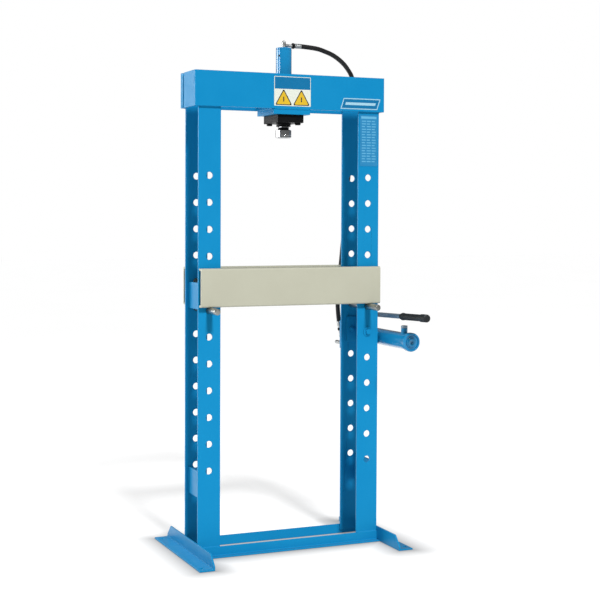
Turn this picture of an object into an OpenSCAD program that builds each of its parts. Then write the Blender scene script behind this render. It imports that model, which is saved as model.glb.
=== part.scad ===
// Floor-standing hydraulic shop press: a bolted and welded steel frame, a height-adjustable
// bed on two pins, a single-acting cylinder with a return spring, and a side-mounted hand pump.
// Millimetres, +Z up. The origin is on the floor, midway between the uprights, under the ram.

/* [Uprights] */
// Distance between the centre lines of the left and right uprights
upright_span = 654; // [560:2:900]
// Width of each upright bar
bar_w = 88; // [80:1:120]
// Thickness of each upright bar
bar_t = 8; // [6:0.5:12]
// Depth of an upright over the outer faces of its two bars
upright_depth = 154; // [130:2:220]
// Height of the upright bars' lower ends above the floor
bar_bottom = 15; // [0:1:30]
// Height of the lowest pin hole
first_hole_z = 322; // [300:1:400]
// Distance from one pin hole to the next
hole_pitch = 100; // [80:1:120]
// Number of pin holes in each bar
hole_count = 12; // [10:1:12]
// Diameter of the pin holes
hole_d = 26; // [22:0.5:34]
// Height of each batten plate that ties a front bar to a rear bar
batten_h = 100; // [60:5:140]
// Thickness of the batten plates
batten_t = 8; // [4:0.5:12]
// Inset of the battens from the upright's outer edge
batten_inset = 15; // [8:1:20]
// Height of the lower battens' bottom edges
lower_batten_z = 216; // [120:1:260]

/* [Head beam] */
// Length by which the head beam stands out past each upright
head_overhang = 17.5; // [5:0.5:60]
// Height of the head beam's bottom edge
head_bottom = 1677; // [1640:1:2100]
// Height of the head beam's plates
head_h = 132; // [110:1:180]
// Thickness of the front and rear head plates
head_t = 10; // [8:0.5:16]
// Thickness of the head beam's end plates and stiffeners
head_end_t = 8; // [5:0.5:12]
// Gap between each end plate and the rear head plate's return
head_end_gap = 10; // [4:1:40]
// Depth of the returns bent forward at the rear plate's ends
head_return = 24; // [12:1:30]
// Distance from the ram axis to each stiffener between the head plates
stiffener_x = 72; // [56:1:110]

/* [Base] */
// Length of the foot angles, front to back
foot_len = 540; // [480:10:800]
// Width of the feet's horizontal legs
foot_w = 59; // [50:1:90]
// Height of the feet's vertical legs
foot_h = 54; // [40:1:80]
// Thickness of the feet
foot_t = 6; // [4:0.5:8]
// Chamfer on the feet's vertical legs
foot_chamfer = 38; // [20:1:40]
// Diameter of the anchor holes
anchor_d = 14; // [9:0.5:18]
// Distance from each anchor hole to the foot's end
anchor_inset = 34; // [20:1:50]
// Distance from each anchor hole to the foot's outer edge
anchor_edge = 18.5; // [14:0.5:30]
// Height of the base rails' vertical legs
rail_h = 37; // [30:1:60]
// Width of the base rails' horizontal legs
rail_w = 30; // [20:1:60]
// Thickness of the base rails
rail_t = 5; // [4:0.5:8]

/* [Bed] */
// Distance from each end of the bed to the upright's outer edge
bed_end_inset = 2.5; // [0:0.5:10]
// Height of the bed channels
bed_h = 144; // [120:1:180]
// Thickness of the bed channels
bed_t = 8; // [6:0.5:10]
// Depth of the bed channels' flanges
bed_flange = 25; // [20:1:40]
// Clearance between the bed's flanges and the upright bars
bed_side_gap = 2; // [1:0.5:5]
// Number of the pin hole that carries the bed, counted from the bottom hole as 0
bed_hole = 6; // [3:1:7]
// Diameter of the spacer tubes between the bed channels
spacer_d = 34; // [24:1:50]
// Wall thickness of the spacer tubes
spacer_wall = 5; // [3:0.5:8]
// Gap between a spacer tube and the upright beside it
spacer_gap = 4; // [2:1:10]
// Difference between the pin holes' diameter and the bed pins'
pin_clearance = 2; // [0.5:0.5:5]
// Length by which each bed pin stands out in front of the upright
pin_front = 91; // [60:1:160]
// Length by which each bed pin stands out behind the upright
pin_back = 40; // [30:1:100]

/* [Cylinder] */
// Bore of the cylinder
bore_d = 46; // [40:1:60]
// Wall thickness of the cylinder barrel
barrel_wall = 7; // [6:0.5:10]
// Length of the cylinder above the flange, with its cap
barrel_len = 259; // [235:1:300]
// Thickness of the cylinder cap's head
cap_head = 8; // [5:1:14]
// Depth of the cylinder cap's spigot
cap_spigot = 8; // [5:1:12]
// Width of the mounting plate under the head beam
mount_w = 150; // [140:1:200]
// Distance from the mounting plate's edges in to the head beam's faces
mount_inset = 3; // [0:0.5:6]
// Thickness of the mounting plate
mount_t = 20; // [12:1:30]
// Width of the cylinder flange
flange_w = 106; // [100:1:140]
// Depth of the cylinder flange, front to back
flange_depth = 144; // [120:1:160]
// Thickness of the cylinder flange
flange_t = 30; // [20:1:40]
// Distance from the flange bolts to the flange's left and right edges
flange_bolt_side = 15; // [12:0.5:20]
// Distance from the flange bolts to the flange's front and rear edges
flange_bolt_end = 22; // [12:0.5:26]
// Thread diameter of the flange bolts
flange_bolt_d = 12; // [8:1:14]
// Length by which the rod gland stands out below the flange
gland_drop = 13; // [8:1:30]
// Length of the rod gland inside the flange
gland_in = 14; // [8:1:24]
// Height of the piston
piston_h = 30; // [20:1:40]
// Height of the collar
collar_h = 10; // [6:1:16]
// Diameter of the ram nose
nose_d = 60; // [56:1:70]
// Height of the ram nose
nose_h = 31; // [20:1:60]
// Wire diameter of the return spring
spring_wire_d = 3.6; // [2.5:0.1:3.8]
// Number of turns of the return spring
spring_turns = 14; // [8:1:16]

/* [Hose] */
// Outer diameter of the hydraulic hose
hose_d = 18; // [10:1:20]
// Outer diameter of the hose ferrules
ferrule_d = 19; // [16:0.5:24]
// Length of the hose ferrules
ferrule_len = 28; // [20:1:40]
// Width across flats of the hose nuts
hose_nut_af = 19; // [17:1:24]
// Length of the hose nuts
hose_nut_len = 9; // [6:1:14]

/* [Pump] */
// Distance from the bracket's bolts down to the pump reservoir's axis
pump_drop = 26; // [20:1:32]
// Outer diameter of the reservoir tube
reservoir_d = 63; // [50:1:80]
// Wall thickness of the reservoir tube
reservoir_wall = 3; // [2:0.5:5]
// Gap between the upright and the reservoir tube
reservoir_gap = 7.5; // [5:0.5:20]
// Distance in front of the ram axis to the front cap's face
reservoir_front = 287; // [200:1:300]
// Length by which the reservoir's front cap stands out past the tube
reservoir_cap_rim = 4.5; // [2:0.5:12]
// Thickness of the reservoir's front cap
reservoir_cap_t = 23; // [14:1:30]
// Distance behind the ram axis to the pump head's front face
pump_head_y = 196; // [150:1:200]
// Length of the pump head, front to back
pump_head_len = 90; // [84:1:110]
// Length by which each side of the pump head stands out past the reservoir tube
pump_head_side = 2.5; // [0:0.5:4.5]
// Depth of the pump head below the reservoir's axis
pump_head_low = 74; // [68:1:80]
// Height of the pump head above the reservoir's axis
pump_head_high = 42; // [40:1:46]
// Diameter of the filler neck
filler_d = 25; // [20:1:30]
// Distance in front of the ram axis to the filler neck
filler_y = 226; // [190:1:236]
// Height of the filler neck above the reservoir's axis
filler_h = 50; // [40:1:52]
// Diameter of the pump plunger
plunger_d = 16; // [10:1:18]
// Height of the lever's fulcrum above the pump head
fulcrum_rise = 34; // [32:1:38]
// Distance from the fulcrum to the plunger's drive pin
drive_arm = 40; // [36:1:42]
// Diameter of the fulcrum pin
fulcrum_pin_d = 10; // [8:0.5:12]
// Diameter of the plunger's drive pin
drive_pin_d = 8; // [6:0.5:8]
// Angle at which the lever lies at rest
lever_rest_angle = 2; // [0:0.5:4]
// Distance from the fulcrum to the end of the handle
handle_reach = 672; // [500:1:700]
// Diameter of the handle tube
handle_d = 19; // [16:0.5:22]
// Length of the grip
grip_len = 205; // [120:5:240]
// Diameter of the grip
grip_d = 26; // [24:0.5:32]
// Height of the release valve's axis above the pump head's bottom face
release_rise = 16; // [12:1:20]
// Distance behind the ram axis to the end of the release knob
release_end = 388; // [350:1:420]
// Diameter of the release knob
release_knob_d = 15; // [14:0.5:26]

/* [Plates] */
// Width of the capacity plate
capacity_w = 150; // [120:1:200]
// Height of the capacity plate
capacity_h = 111; // [80:1:120]
// Width of the badge plate
badge_w = 158; // [100:1:180]
// Height of the badge plate
badge_h = 42; // [30:1:60]
// Width of the instruction plate
instruction_w = 76; // [50:1:80]
// Height of the instruction plate
instruction_h = 198; // [120:1:200]

/* [Hidden] */

$fn = 64;
press_blue = "#1b91cd";
bed_beige = "#cac9b7";
rubber_black = "#17171a";
steel_black = "#2a2a2e";
zinc = "#c9ccce";
chrome = "#e6e8ea";

cut = 1;                  // how far a cutter runs past the face it opens
face_gap = 0.3;           // gap between curved or sliding faces of different bodies
seat_gap = 0.2;           // gap between faces that bear on one another
thread_gap = 0.1;         // radial gap around a screw in its hole

// Frame
upright_x = upright_span / 2;
bar_outer = upright_x + bar_w / 2;
bar_inner = upright_x - bar_w / 2;
head_len = 2 * (bar_outer + head_overhang);
frame_y = upright_depth / 2;
bar_in_y = frame_y - bar_t;
head_top = head_bottom + head_h;
bar_top_gap = 12;         // from the bars' upper ends to the head beam's top edge
bar_top = head_top - bar_top_gap;
bed_hole_z = first_hole_z + bed_hole * hole_pitch;
bracket_hole_z = bed_hole_z - hole_pitch;
head_front_y = frame_y + head_t;
head_end_depth = 2 * frame_y - head_return - head_end_gap;

// Bed
bed_len = 2 * (bar_outer - bed_end_inset);
pin_d = hole_d - pin_clearance;
pin_z = bed_hole_z - (hole_d - pin_d) / 2 + seat_gap;
bed_z = pin_z + pin_d / 2 + face_gap;
bed_y = frame_y + bed_side_gap + bed_flange;
spacer_x = bar_inner - spacer_gap - spacer_d / 2;
spacer_rows = [0.25, 0.75];

// Cylinder, from the head beam down to the nose
spring_play = 0.95;       // radial gap on each side of the return spring's wire
mount_z = head_bottom - mount_t;
mount_depth = 2 * (head_front_y - mount_inset);
barrel_d = bore_d + 2 * barrel_wall;
barrel_top = mount_z + barrel_len;
rod_d = bore_d - 2 * (spring_wire_d + 2 * spring_play);
gland_d = bore_d + 10;
collar_d = rod_d + 7;
flange_bolt_x = flange_w - 2 * flange_bolt_side;
flange_bolt_y = flange_depth - 2 * flange_bolt_end;
flange_z = mount_z - flange_t;
gland_z = flange_z - gland_drop;
gland_top = flange_z + gland_in;
gland_spigot_d = gland_d - 4;
cap_z = barrel_top - cap_head - cap_spigot;
stop_gap = 2;
piston_top = cap_z - stop_gap;
piston_z = piston_top - piston_h;
collar_z = gland_z - stop_gap - collar_h;
nose_z = collar_z - nose_h;
slide_fit = 0.1;          // radial gap of the piston in its bore
rod_fit = 0.06;           // radial gap of a rod, plunger or pivot in its hole
pin_fit = 0.05;           // radial gap of a pin in the part that holds it
seal_h = 8;
seal_groove = 3;
wiper_h = 5;
wiper_w = 4;
port_d = 8;
rod_spigot_d = rod_d - 11;
nose_socket = 12;          // how far the rod enters the nose
spring_d = (bore_d + rod_d) / 2;
lock_screw_d = 7;
lock_screw_drop = 32;
lock_screw_z = barrel_top - lock_screw_drop;
lock_screw_floor = 2;      // barrel wall left behind the lock screw
lock_screw_angle = 212;

// Pump
pump_x = bar_outer + reservoir_gap + reservoir_d / 2;
pump_z = bracket_hole_z - pump_drop;
pump_head_w = reservoir_d + 2 * pump_head_side;
pump_head_back = pump_head_y + pump_head_len;
pump_head_bottom = pump_z - pump_head_low;
pump_head_top = pump_z + pump_head_high;
fulcrum_z = pump_head_top + fulcrum_rise;
release_z = pump_head_bottom + release_rise;
reservoir_cap_d = reservoir_d + 2 * reservoir_cap_rim;

// Hose fittings
inlet_post_d = 17;
inlet_post_h = 28;
inlet_axis_rise = 10;
inlet_axis_z = barrel_top + inlet_axis_rise;
inlet_arm_d = 12;
inlet_arm_end = 34;
outlet_x = pump_x - 19;
outlet_y = pump_head_back + 15;
outlet_z = pump_head_bottom + 50;
outlet_lean = -10;
outlet_post_h = 24;
outlet_arm_d = 14;
outlet_ball_d = 18;       // the forged corner of the elbow

// Route of the hose, from the upper ferrule to the lower one
hose_start = [inlet_arm_end + hose_nut_len + ferrule_len, 0, inlet_axis_z];
hose_rise = outlet_post_h + hose_nut_len + ferrule_len;
hose_end = [
    outlet_x + hose_rise * sin(outlet_lean),
    outlet_y,
    outlet_z + hose_rise * cos(outlet_lean)
];
// Each point as its share of the way from the start to the end, in X, Y and Z
hose_shares = [
    [0.126, 0.007, 0.002], [0.249, 0.027, 0.005], [0.372, 0.080, 0.011],
    [0.494, 0.146, 0.018], [0.617, 0.226, 0.029], [0.734, 0.306, 0.044],
    [0.831, 0.379, 0.062], [0.908, 0.435, 0.084], [0.953, 0.478, 0.113],
    [0.973, 0.505, 0.152], [0.979, 0.525, 0.207], [0.966, 0.551, 0.298],
    [0.947, 0.578, 0.408], [0.928, 0.611, 0.527], [0.915, 0.658, 0.645],
    [0.908, 0.718, 0.746], [0.911, 0.791, 0.828], [0.928, 0.870, 0.892],
    [0.957, 0.944, 0.942]
];
hose_points = [
    for (share = hose_shares) [for (k = [0 : 2]) hose_start[k] + share[k] * (hose_end[k] - hose_start[k])]
];
hose_sides = 10;
rings_per_span = 3;

// Lever, plunger and the pump's bracket
fulcrum_inset = 20;       // from the pump head's back face to the fulcrum
fulcrum_y = pump_head_back - fulcrum_inset;
drive_rest_y = fulcrum_y - drive_arm * cos(lever_rest_angle);
drive_rest_z = fulcrum_z + drive_arm * sin(lever_rest_angle);
lever_travel = 45;
drive_top_y = fulcrum_y - drive_arm * cos(lever_rest_angle + lever_travel);
plunger_y = (drive_rest_y + drive_top_y) / 2;
plunger_head_w = 12;
plunger_head_rise = 12;   // from the drive pin to the top of the plunger's head
plunger_head_drop = 20;   // from the drive pin to the bottom of the plunger's head
plunger_floor = 28;       // metal left under the plunger's end
plunger_bottom = pump_head_bottom + plunger_floor;
drive_play = 1.4;         // room above and below the drive pin in the plunger's slot
cheek_t = 6;
cheek_gap = 1.5;          // side gap between the plunger's head and the lever's cheeks
cheek_x = plunger_head_w / 2 + cheek_gap;
cheek_h = 26;
ear_gap = 0.8;
ear_t = 8;
ear_x = cheek_x + cheek_t + ear_gap;
fork_len = 92;
fork_lap = 20;            // how far the socket reaches between the cheeks
socket_floor = 8;         // solid end of the socket
socket_len = 114;
socket_wall = 4;
handle_fit = 0.3;
handle_wall = 2.5;
grip_end_wall = 4;        // rubber past the handle tube's end
gland_nut_h = 9;
gland_nut_af = 27;
bracket_t = 6;
bracket_h = 100;
bracket_z = bracket_hole_z - bracket_h / 2;
bracket_reach = 66;
bracket_gap = 0.3;
bracket_bolt_d = 12;
bracket_washer_d = 37;
bracket_washer_t = 3;
bolt_head = 8;
bolt_af = 19;             // across the flats of the M12 bolt heads and nuts
saddle_y = 45;
saddle_w = 24;
saddle_h = 44;
saddle_bolt_d = 8;
saddle_bolt_af = 13;
saddle_bolt_in = 6;       // how far a saddle bolt enters its saddle
saddle_bolt_z = 14;
release_seat = 14;        // depth of the release valve's hole
release_nut_len = 12;
release_nut_af = 17;
release_knob_len = 60;
release_spindle_d = 10;
filler_bore = 16;
filler_cap_h = 9;
filler_spigot = 12;
cap_plug_d = 16;
cap_rim = 13;
cap_recess = 4;

// Plates
plate_t = 1;
plate_bed = 0.05;
instruction_drop = 12;    // from the head beam to the instruction plate
instruction_z = head_bottom - instruction_drop - instruction_h;
badge_inset = 41;         // from the upright's centre line to the badge's centre
badge_x = upright_x - badge_inset;
badge_rise = 8;
badge_z = head_bottom + badge_rise;
badge_skew = 14;

// ---- shapes that several parts share -------------------------------------------------

// A box centred in X and Y, standing on z = 0
module block(size) {
    translate([-size.x / 2, -size.y / 2, 0]) cube(size);
}

// A cylinder along Y, from y = 0 towards +Y
module rod_y(d, len) {
    rotate([-90, 0, 0]) cylinder(d = d, h = len);
}

// A cylinder along X, from x = 0 towards +X
module rod_x(d, len) {
    rotate([0, 90, 0]) cylinder(d = d, h = len);
}

// A hexagon head or nut, by its width across flats
module hexagon(af, h) {
    cylinder(d = af / cos(30), h = h, $fn = 6);
}

// Copies children on both sides of the X = 0 plane
module both_sides() {
    for (side = [-1, 1]) on_side(side) children();
}

// Puts children on the right (side = 1) or, mirrored, on the left (side = -1)
module on_side(side) {
    mirror([side < 0 ? 1 : 0, 0, 0]) children();
}

// Mirrors children to the rear (side = 1 keeps them in front)
module front_rear(side) {
    mirror([0, side > 0 ? 0 : 1, 0]) children();
}

// ---- frame ---------------------------------------------------------------------------

// One drilled upright bar; side is -1 left or 1 right, face is 1 front or -1 rear
module upright_bar(side, face) {
    color(press_blue) front_rear(face) on_side(side)
        difference() {
            translate([bar_inner, -frame_y, bar_bottom]) cube([bar_w, bar_t, bar_top - bar_bottom]);
            for (i = [0 : hole_count - 1])
                translate([upright_x, -frame_y - cut, first_hole_z + i * hole_pitch])
                    rod_y(hole_d, bar_t + 2 * cut);
        }
}

// The two batten plates between an upright's front and rear bars
module battens(side) {
    color(press_blue) on_side(side)
        for (z = [lower_batten_z, bed_hole_z])
            translate([bar_outer - batten_inset - batten_t, -bar_in_y, z])
                cube([batten_t, 2 * bar_in_y, batten_h]);
}

module head_beam_front() {
    color(press_blue)
        translate([-head_len / 2, -head_front_y, head_bottom]) cube([head_len, head_t, head_h]);
}

// The rear head plate, with its ends bent forward
module head_beam_rear() {
    color(press_blue) {
        translate([-head_len / 2, frame_y, head_bottom]) cube([head_len, head_t, head_h]);
        both_sides() head_return_lip();
    }
}

// One bent end of the rear head plate, with rounded front corners
module head_return_lip() {
    corner_r = 14;
    depth = head_return + head_t;
    translate([head_len / 2 - head_end_t, frame_y + head_t, head_bottom])
        rotate([90, 0, 90])
            linear_extrude(head_end_t)
                difference() {
                    translate([-depth, 0]) square([depth, head_h]);
                    for (z = [0, head_h])
                        translate([-depth, z])
                            corner_cut(corner_r, z > 0 ? -1 : 1);
                }
}

// The waste outside a rounded corner at the origin; up is 1 for a lower corner, -1 for an upper
module corner_cut(r, up) {
    scale([1, up])
        difference() {
            translate([-cut, -cut]) square(r + cut);
            translate([r, r]) circle(r);
        }
}

module head_end_plates() {
    color(press_blue) both_sides()
        translate([head_len / 2 - head_end_t, -frame_y, head_bottom])
            cube([head_end_t, head_end_depth, head_h]);
}

module head_stiffeners() {
    color(press_blue) both_sides()
        translate([stiffener_x, -frame_y, head_bottom]) cube([head_end_t, 2 * frame_y, head_h]);
}

module foot(side) {
    anchor_x = bar_outer + foot_w - anchor_edge;
    color(press_blue) on_side(side)
        difference() {
            union() {
                translate([bar_outer, -foot_len / 2, 0]) cube([foot_w, foot_len, foot_t]);
                translate([bar_outer, 0, 0]) rotate([90, 0, 90]) linear_extrude(foot_t)
                    polygon([
                        [-foot_len / 2, 0], [foot_len / 2, 0],
                        [foot_len / 2, foot_h - foot_chamfer],
                        [foot_len / 2 - foot_chamfer, foot_h],
                        [-foot_len / 2 + foot_chamfer, foot_h],
                        [-foot_len / 2, foot_h - foot_chamfer]
                    ]);
            }
            for (end = [-1, 1])
                translate([anchor_x, end * (foot_len / 2 - anchor_inset), -cut])
                    cylinder(d = anchor_d, h = foot_t + 2 * cut);
        }
}

// An angle along X outside the upright bars
module base_rail(face) {
    color(press_blue) front_rear(face) {
        translate([-bar_outer, -frame_y - rail_t, 0]) cube([2 * bar_outer, rail_t, rail_h]);
        translate([-bar_outer, -frame_y - rail_w, 0]) cube([2 * bar_outer, rail_w - rail_t, rail_t]);
    }
}

// ---- plates --------------------------------------------------------------------------

module capacity_plate() {
    color("white")
        translate([0, -head_front_y - plate_bed - plate_t / 2, head_bottom + (head_h - capacity_h) / 2])
            block([capacity_w, plate_t, capacity_h]);
}

module badge_plate() {
    color(zinc)
        translate([badge_x, -head_front_y - plate_bed, badge_z]) rotate([90, 0, 0])
            linear_extrude(plate_t)
                polygon([
                    [-badge_w / 2 - badge_skew / 2, 0], [badge_w / 2 - badge_skew / 2, 0],
                    [badge_w / 2 + badge_skew / 2, badge_h], [-badge_w / 2 + badge_skew / 2, badge_h]
                ]);
}

module instruction_plate() {
    color("lightblue")
        translate([upright_x, -frame_y - plate_bed - plate_t / 2, instruction_z])
            block([instruction_w, plate_t, instruction_h]);
}

// ---- cylinder ------------------------------------------------------------------------

module cylinder_mount_plate() {
    color(press_blue) translate([0, 0, mount_z])
        difference() {
            block([mount_w, mount_depth, mount_t]);
            translate([0, 0, -cut]) cylinder(d = barrel_d + 2 * face_gap, h = mount_t + 2 * cut);
            flange_bolt_places() translate([0, 0, -cut])
                cylinder(d = flange_bolt_d + 2 * thread_gap, h = mount_t + 2 * cut);
        }
}

module cylinder_barrel() {
    color(press_blue) translate([0, 0, mount_z])
        difference() {
            cylinder(d = barrel_d, h = barrel_top - cap_head - mount_z);
            translate([0, 0, -cut]) cylinder(d = bore_d, h = barrel_top - mount_z + 2 * cut);
            lock_screw_place(mount_z) rod_x(lock_screw_d + 2 * thread_gap, barrel_d);
        }
}

// Places children at the bottom of the lock screw's hole in the barrel, pointing outwards
module lock_screw_place(base_z) {
    rotate(lock_screw_angle)
        translate([bore_d / 2 + lock_screw_floor, 0, lock_screw_z - base_z]) children();
}

module cylinder_cap() {
    color(press_blue) translate([0, 0, cap_z])
        difference() {
            union() {
                cylinder(d = bore_d - 2 * slide_fit, h = cap_spigot);
                translate([0, 0, cap_spigot]) cylinder(d = barrel_d, h = cap_head);
            }
            translate([0, 0, -cut]) cylinder(d = port_d, h = cap_spigot + cap_head + 2 * cut);
        }
}

module cap_lock_screw() {
    stand_out = 1.5;
    length = barrel_d / 2 - bore_d / 2 - lock_screw_floor + stand_out;
    color(steel_black) lock_screw_place(0)
        difference() {
            rod_x(lock_screw_d, length);
            translate([length - 2, 0, 0]) rotate([0, 90, 0]) hexagon(3, 2 + cut);
        }
}

module flange_bolt_places() {
    for (x = [-1, 1], y = [-1, 1])
        translate([x * flange_bolt_x / 2, y * flange_bolt_y / 2, 0]) children();
}

module cylinder_flange() {
    color(steel_black) translate([0, 0, flange_z])
        difference() {
            block([flange_w, flange_depth, flange_t]);
            translate([0, 0, gland_in]) cylinder(d = bore_d, h = flange_t);
            translate([0, 0, -cut]) cylinder(d = gland_spigot_d + 2 * thread_gap, h = gland_in + cut);
            flange_bolt_places() translate([0, 0, -cut])
                cylinder(d = flange_bolt_d + 2 * thread_gap, h = flange_t + 2 * cut);
        }
}

module flange_bolts() {
    shank = flange_t + mount_t + 2;
    color(steel_black) translate([0, 0, flange_z]) flange_bolt_places() {
        cylinder(d = flange_bolt_d, h = shank);
        translate([0, 0, -bolt_head]) hexagon(bolt_af, bolt_head);
    }
}

module rod_gland() {
    color(steel_black)
        difference() {
            union() {
                translate([0, 0, gland_z]) cylinder(d = gland_d, h = gland_drop);
                translate([0, 0, flange_z]) cylinder(d = gland_spigot_d, h = gland_in);
            }
            translate([0, 0, gland_z - cut])
                cylinder(d = rod_d + 2 * rod_fit, h = gland_drop + gland_in + 2 * cut);
            translate([0, 0, gland_z - cut])
                cylinder(d = rod_d + 2 * wiper_w, h = wiper_h + cut);
        }
}

module rod_wiper() {
    color(rubber_black) translate([0, 0, gland_z])
        difference() {
            cylinder(d = rod_d + 2 * wiper_w, h = wiper_h);
            translate([0, 0, -cut]) cylinder(d = rod_d + 2 * rod_fit, h = wiper_h + 2 * cut);
        }
}

module piston() {
    color(zinc) translate([0, 0, piston_z])
        difference() {
            cylinder(d = bore_d - 2 * slide_fit, h = piston_h);
            translate([0, 0, (piston_h - seal_h) / 2]) seal_ring(bore_d + cut);
            translate([0, 0, -cut]) cylinder(d = rod_spigot_d, h = piston_h / 2 + cut);
        }
}

// The ring that fills the piston's groove out to the diameter d
module seal_ring(d) {
    difference() {
        cylinder(d = d, h = seal_h);
        translate([0, 0, -cut]) cylinder(d = bore_d - 2 * seal_groove, h = seal_h + 2 * cut);
    }
}

module piston_seal() {
    color(rubber_black) translate([0, 0, piston_z + (piston_h - seal_h) / 2])
        seal_ring(bore_d - 2 * slide_fit);
}

module ram_rod() {
    color(chrome) {
        translate([0, 0, collar_z - nose_socket])
            cylinder(d = rod_d, h = piston_z - collar_z + nose_socket);
        translate([0, 0, piston_z]) cylinder(d = rod_spigot_d, h = piston_h / 2);
    }
}

module ram_collar() {
    color(steel_black) translate([0, 0, collar_z])
        difference() {
            cylinder(d = collar_d, h = collar_h);
            translate([0, 0, -cut]) cylinder(d = rod_d, h = collar_h + 2 * cut);
        }
}

module ram_nose() {
    edge = 2;
    color(chrome) translate([0, 0, nose_z])
        rotate_extrude()
            polygon([
                [0, 0], [nose_d / 2 - edge, 0], [nose_d / 2, edge], [nose_d / 2, nose_h - edge],
                [nose_d / 2 - edge, nose_h], [rod_d / 2, nose_h],
                [rod_d / 2, nose_h - nose_socket], [0, nose_h - nose_socket]
            ]);
}

// The return spring round the rod, between the gland and the piston
module return_spring() {
    steps = 14;
    wire_sides = 6;
    length = piston_z - gland_top - spring_wire_d - 2 * seat_gap;
    rise = length / (spring_turns * steps);
    color(zinc) translate([0, 0, gland_top + seat_gap + spring_wire_d / 2])
        tube_along([
            for (i = [0 : spring_turns * steps])
                let (a = i * 360 / steps)
                    [spring_d / 2 * cos(a), spring_d / 2 * sin(a), i * rise]
        ], spring_wire_d, wire_sides, [0, 0, 1]);
}

// ---- swept tubes ---------------------------------------------------------------------

function unit(v) = v / norm(v);

// The direction of the path at point i
function heading(path, i) =
    unit(path[min(i + 1, len(path) - 1)] - path[max(i - 1, 0)]);

// A closed tube of the given diameter along a path; side_way is never along the path
module tube_along(path, d, sides, side_way) {
    last = len(path) - 1;
    rings = [
        for (i = [0 : last])
            let (ahead = heading(path, i), u = unit(cross(side_way, ahead)), v = cross(ahead, u))
                for (k = [0 : sides - 1])
                    path[i] + d / 2 * (cos(k * 360 / sides) * u + sin(k * 360 / sides) * v)
    ];
    walls = [
        for (i = [0 : last - 1], k = [0 : sides - 1])
            let (next = (k + 1) % sides, low = i * sides, high = low + sides)
                each [[low + k, high + k, high + next], [low + k, high + next, low + next]]
    ];
    ends = [
        [for (k = [0 : sides - 1]) k],
        [for (k = [sides - 1 : -1 : 0]) last * sides + k]
    ];
    polyhedron(points = rings, faces = concat(walls, ends), convexity = 10);
}

// A point between b and c on a smooth curve through a, b, c and d
function between(a, b, c, d, t) =
    0.5 * (2 * b + (c - a) * t + (2 * a - 5 * b + 4 * c - d) * t * t
        + (3 * b - a - 3 * c + d) * t * t * t);

// The smooth path through the points, with n steps from each to the next
function smooth_path(points, n) =
    let (last = len(points) - 1)
        concat([
            for (i = [0 : last - 1], k = [0 : n - 1])
                between(points[max(i - 1, 0)], points[i], points[i + 1],
                    points[min(i + 2, last)], k / n)
        ], [points[last]]);

// ---- hose and its fittings -----------------------------------------------------------

module inlet_elbow() {
    color(zinc) {
        translate([0, 0, barrel_top]) cylinder(d = inlet_post_d, h = inlet_post_h);
        translate([0, 0, inlet_axis_z]) rod_x(inlet_arm_d, inlet_arm_end);
        translate([0, 0, barrel_top - cap_head]) cylinder(d = port_d - 2 * thread_gap, h = cap_head);
    }
}

module inlet_nut() {
    color(steel_black) translate([inlet_arm_end, 0, inlet_axis_z]) rotate([0, 90, 0])
        hexagon(hose_nut_af, hose_nut_len);
}

module hose_ferrule_upper() {
    color(zinc) translate([inlet_arm_end + hose_nut_len, 0, inlet_axis_z])
        rod_x(ferrule_d, ferrule_len);
}

module hydraulic_hose() {
    color(rubber_black)
        tube_along(smooth_path(concat([hose_start], hose_points, [hose_end]), rings_per_span),
            hose_d, hose_sides, [0, 1, 0]);
}

// Puts children on the outlet's leaning axis, at a distance up it
module on_outlet(distance) {
    translate([outlet_x, outlet_y, outlet_z]) rotate([0, outlet_lean, 0])
        translate([0, 0, distance]) children();
}

module hose_ferrule_lower() {
    color(zinc) on_outlet(outlet_post_h + hose_nut_len) cylinder(d = ferrule_d, h = ferrule_len);
}

module outlet_nut() {
    color(steel_black) on_outlet(outlet_post_h) hexagon(hose_nut_af, hose_nut_len);
}

module outlet_elbow() {
    color(zinc) {
        translate([outlet_x, pump_head_back, outlet_z]) rod_y(outlet_arm_d, outlet_y - pump_head_back);
        translate([outlet_x, outlet_y, outlet_z]) sphere(d = outlet_ball_d);
        on_outlet(0) cylinder(d = outlet_arm_d, h = outlet_post_h);
    }
}

// ---- bed -----------------------------------------------------------------------------

// A bed channel with its web outwards; face is 1 front or -1 rear
module bed_channel(face) {
    color(bed_beige) front_rear(face) translate([0, -bed_y, bed_z])
        rotate([90, 0, 90]) linear_extrude(bed_len, center = true)
            difference() {
                square([bed_flange, bed_h]);
                translate([bed_t, bed_t]) square([bed_flange, bed_h - 2 * bed_t]);
            }
}

module bed_spacers() {
    length = 2 * (bed_y - bed_t);
    color(bed_beige) both_sides()
        for (row = spacer_rows)
            translate([spacer_x, -length / 2, bed_z + row * bed_h])
                difference() {
                    rod_y(spacer_d, length);
                    translate([0, -cut, 0]) rod_y(spacer_d - 2 * spacer_wall, length + 2 * cut);
                }
}

module bed_pin(side) {
    edge = 2;
    length = pin_front + upright_depth + pin_back;
    color(zinc) translate([side * upright_x, -frame_y - pin_front, pin_z]) rotate([-90, 0, 0])
        rotate_extrude()
            polygon([
                [0, 0], [pin_d / 2 - edge, 0], [pin_d / 2, edge], [pin_d / 2, length - edge],
                [pin_d / 2 - edge, length], [0, length]
            ]);
}

// ---- pump ----------------------------------------------------------------------------

// A U-shaped bracket inside the right upright, its web towards the pump
module pump_bracket() {
    half = bar_in_y - bracket_gap;
    color(press_blue)
        difference() {
            translate([bar_outer - bracket_t, -half, bracket_z]) cube([bracket_t, 2 * half, bracket_h]);
            saddle_bolt_places() rod_x(saddle_bolt_d + 2 * thread_gap, bracket_t + 2 * cut);
        }
    color(press_blue) for (face = [-1, 1]) front_rear(face)
        difference() {
            translate([bar_outer - bracket_reach, -half, bracket_z])
                cube([bracket_reach - bracket_t, bracket_t, bracket_h]);
            translate([upright_x, -half - cut, bracket_hole_z])
                rod_y(bracket_bolt_d + 2 * thread_gap, bracket_t + 2 * cut);
        }
}

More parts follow.
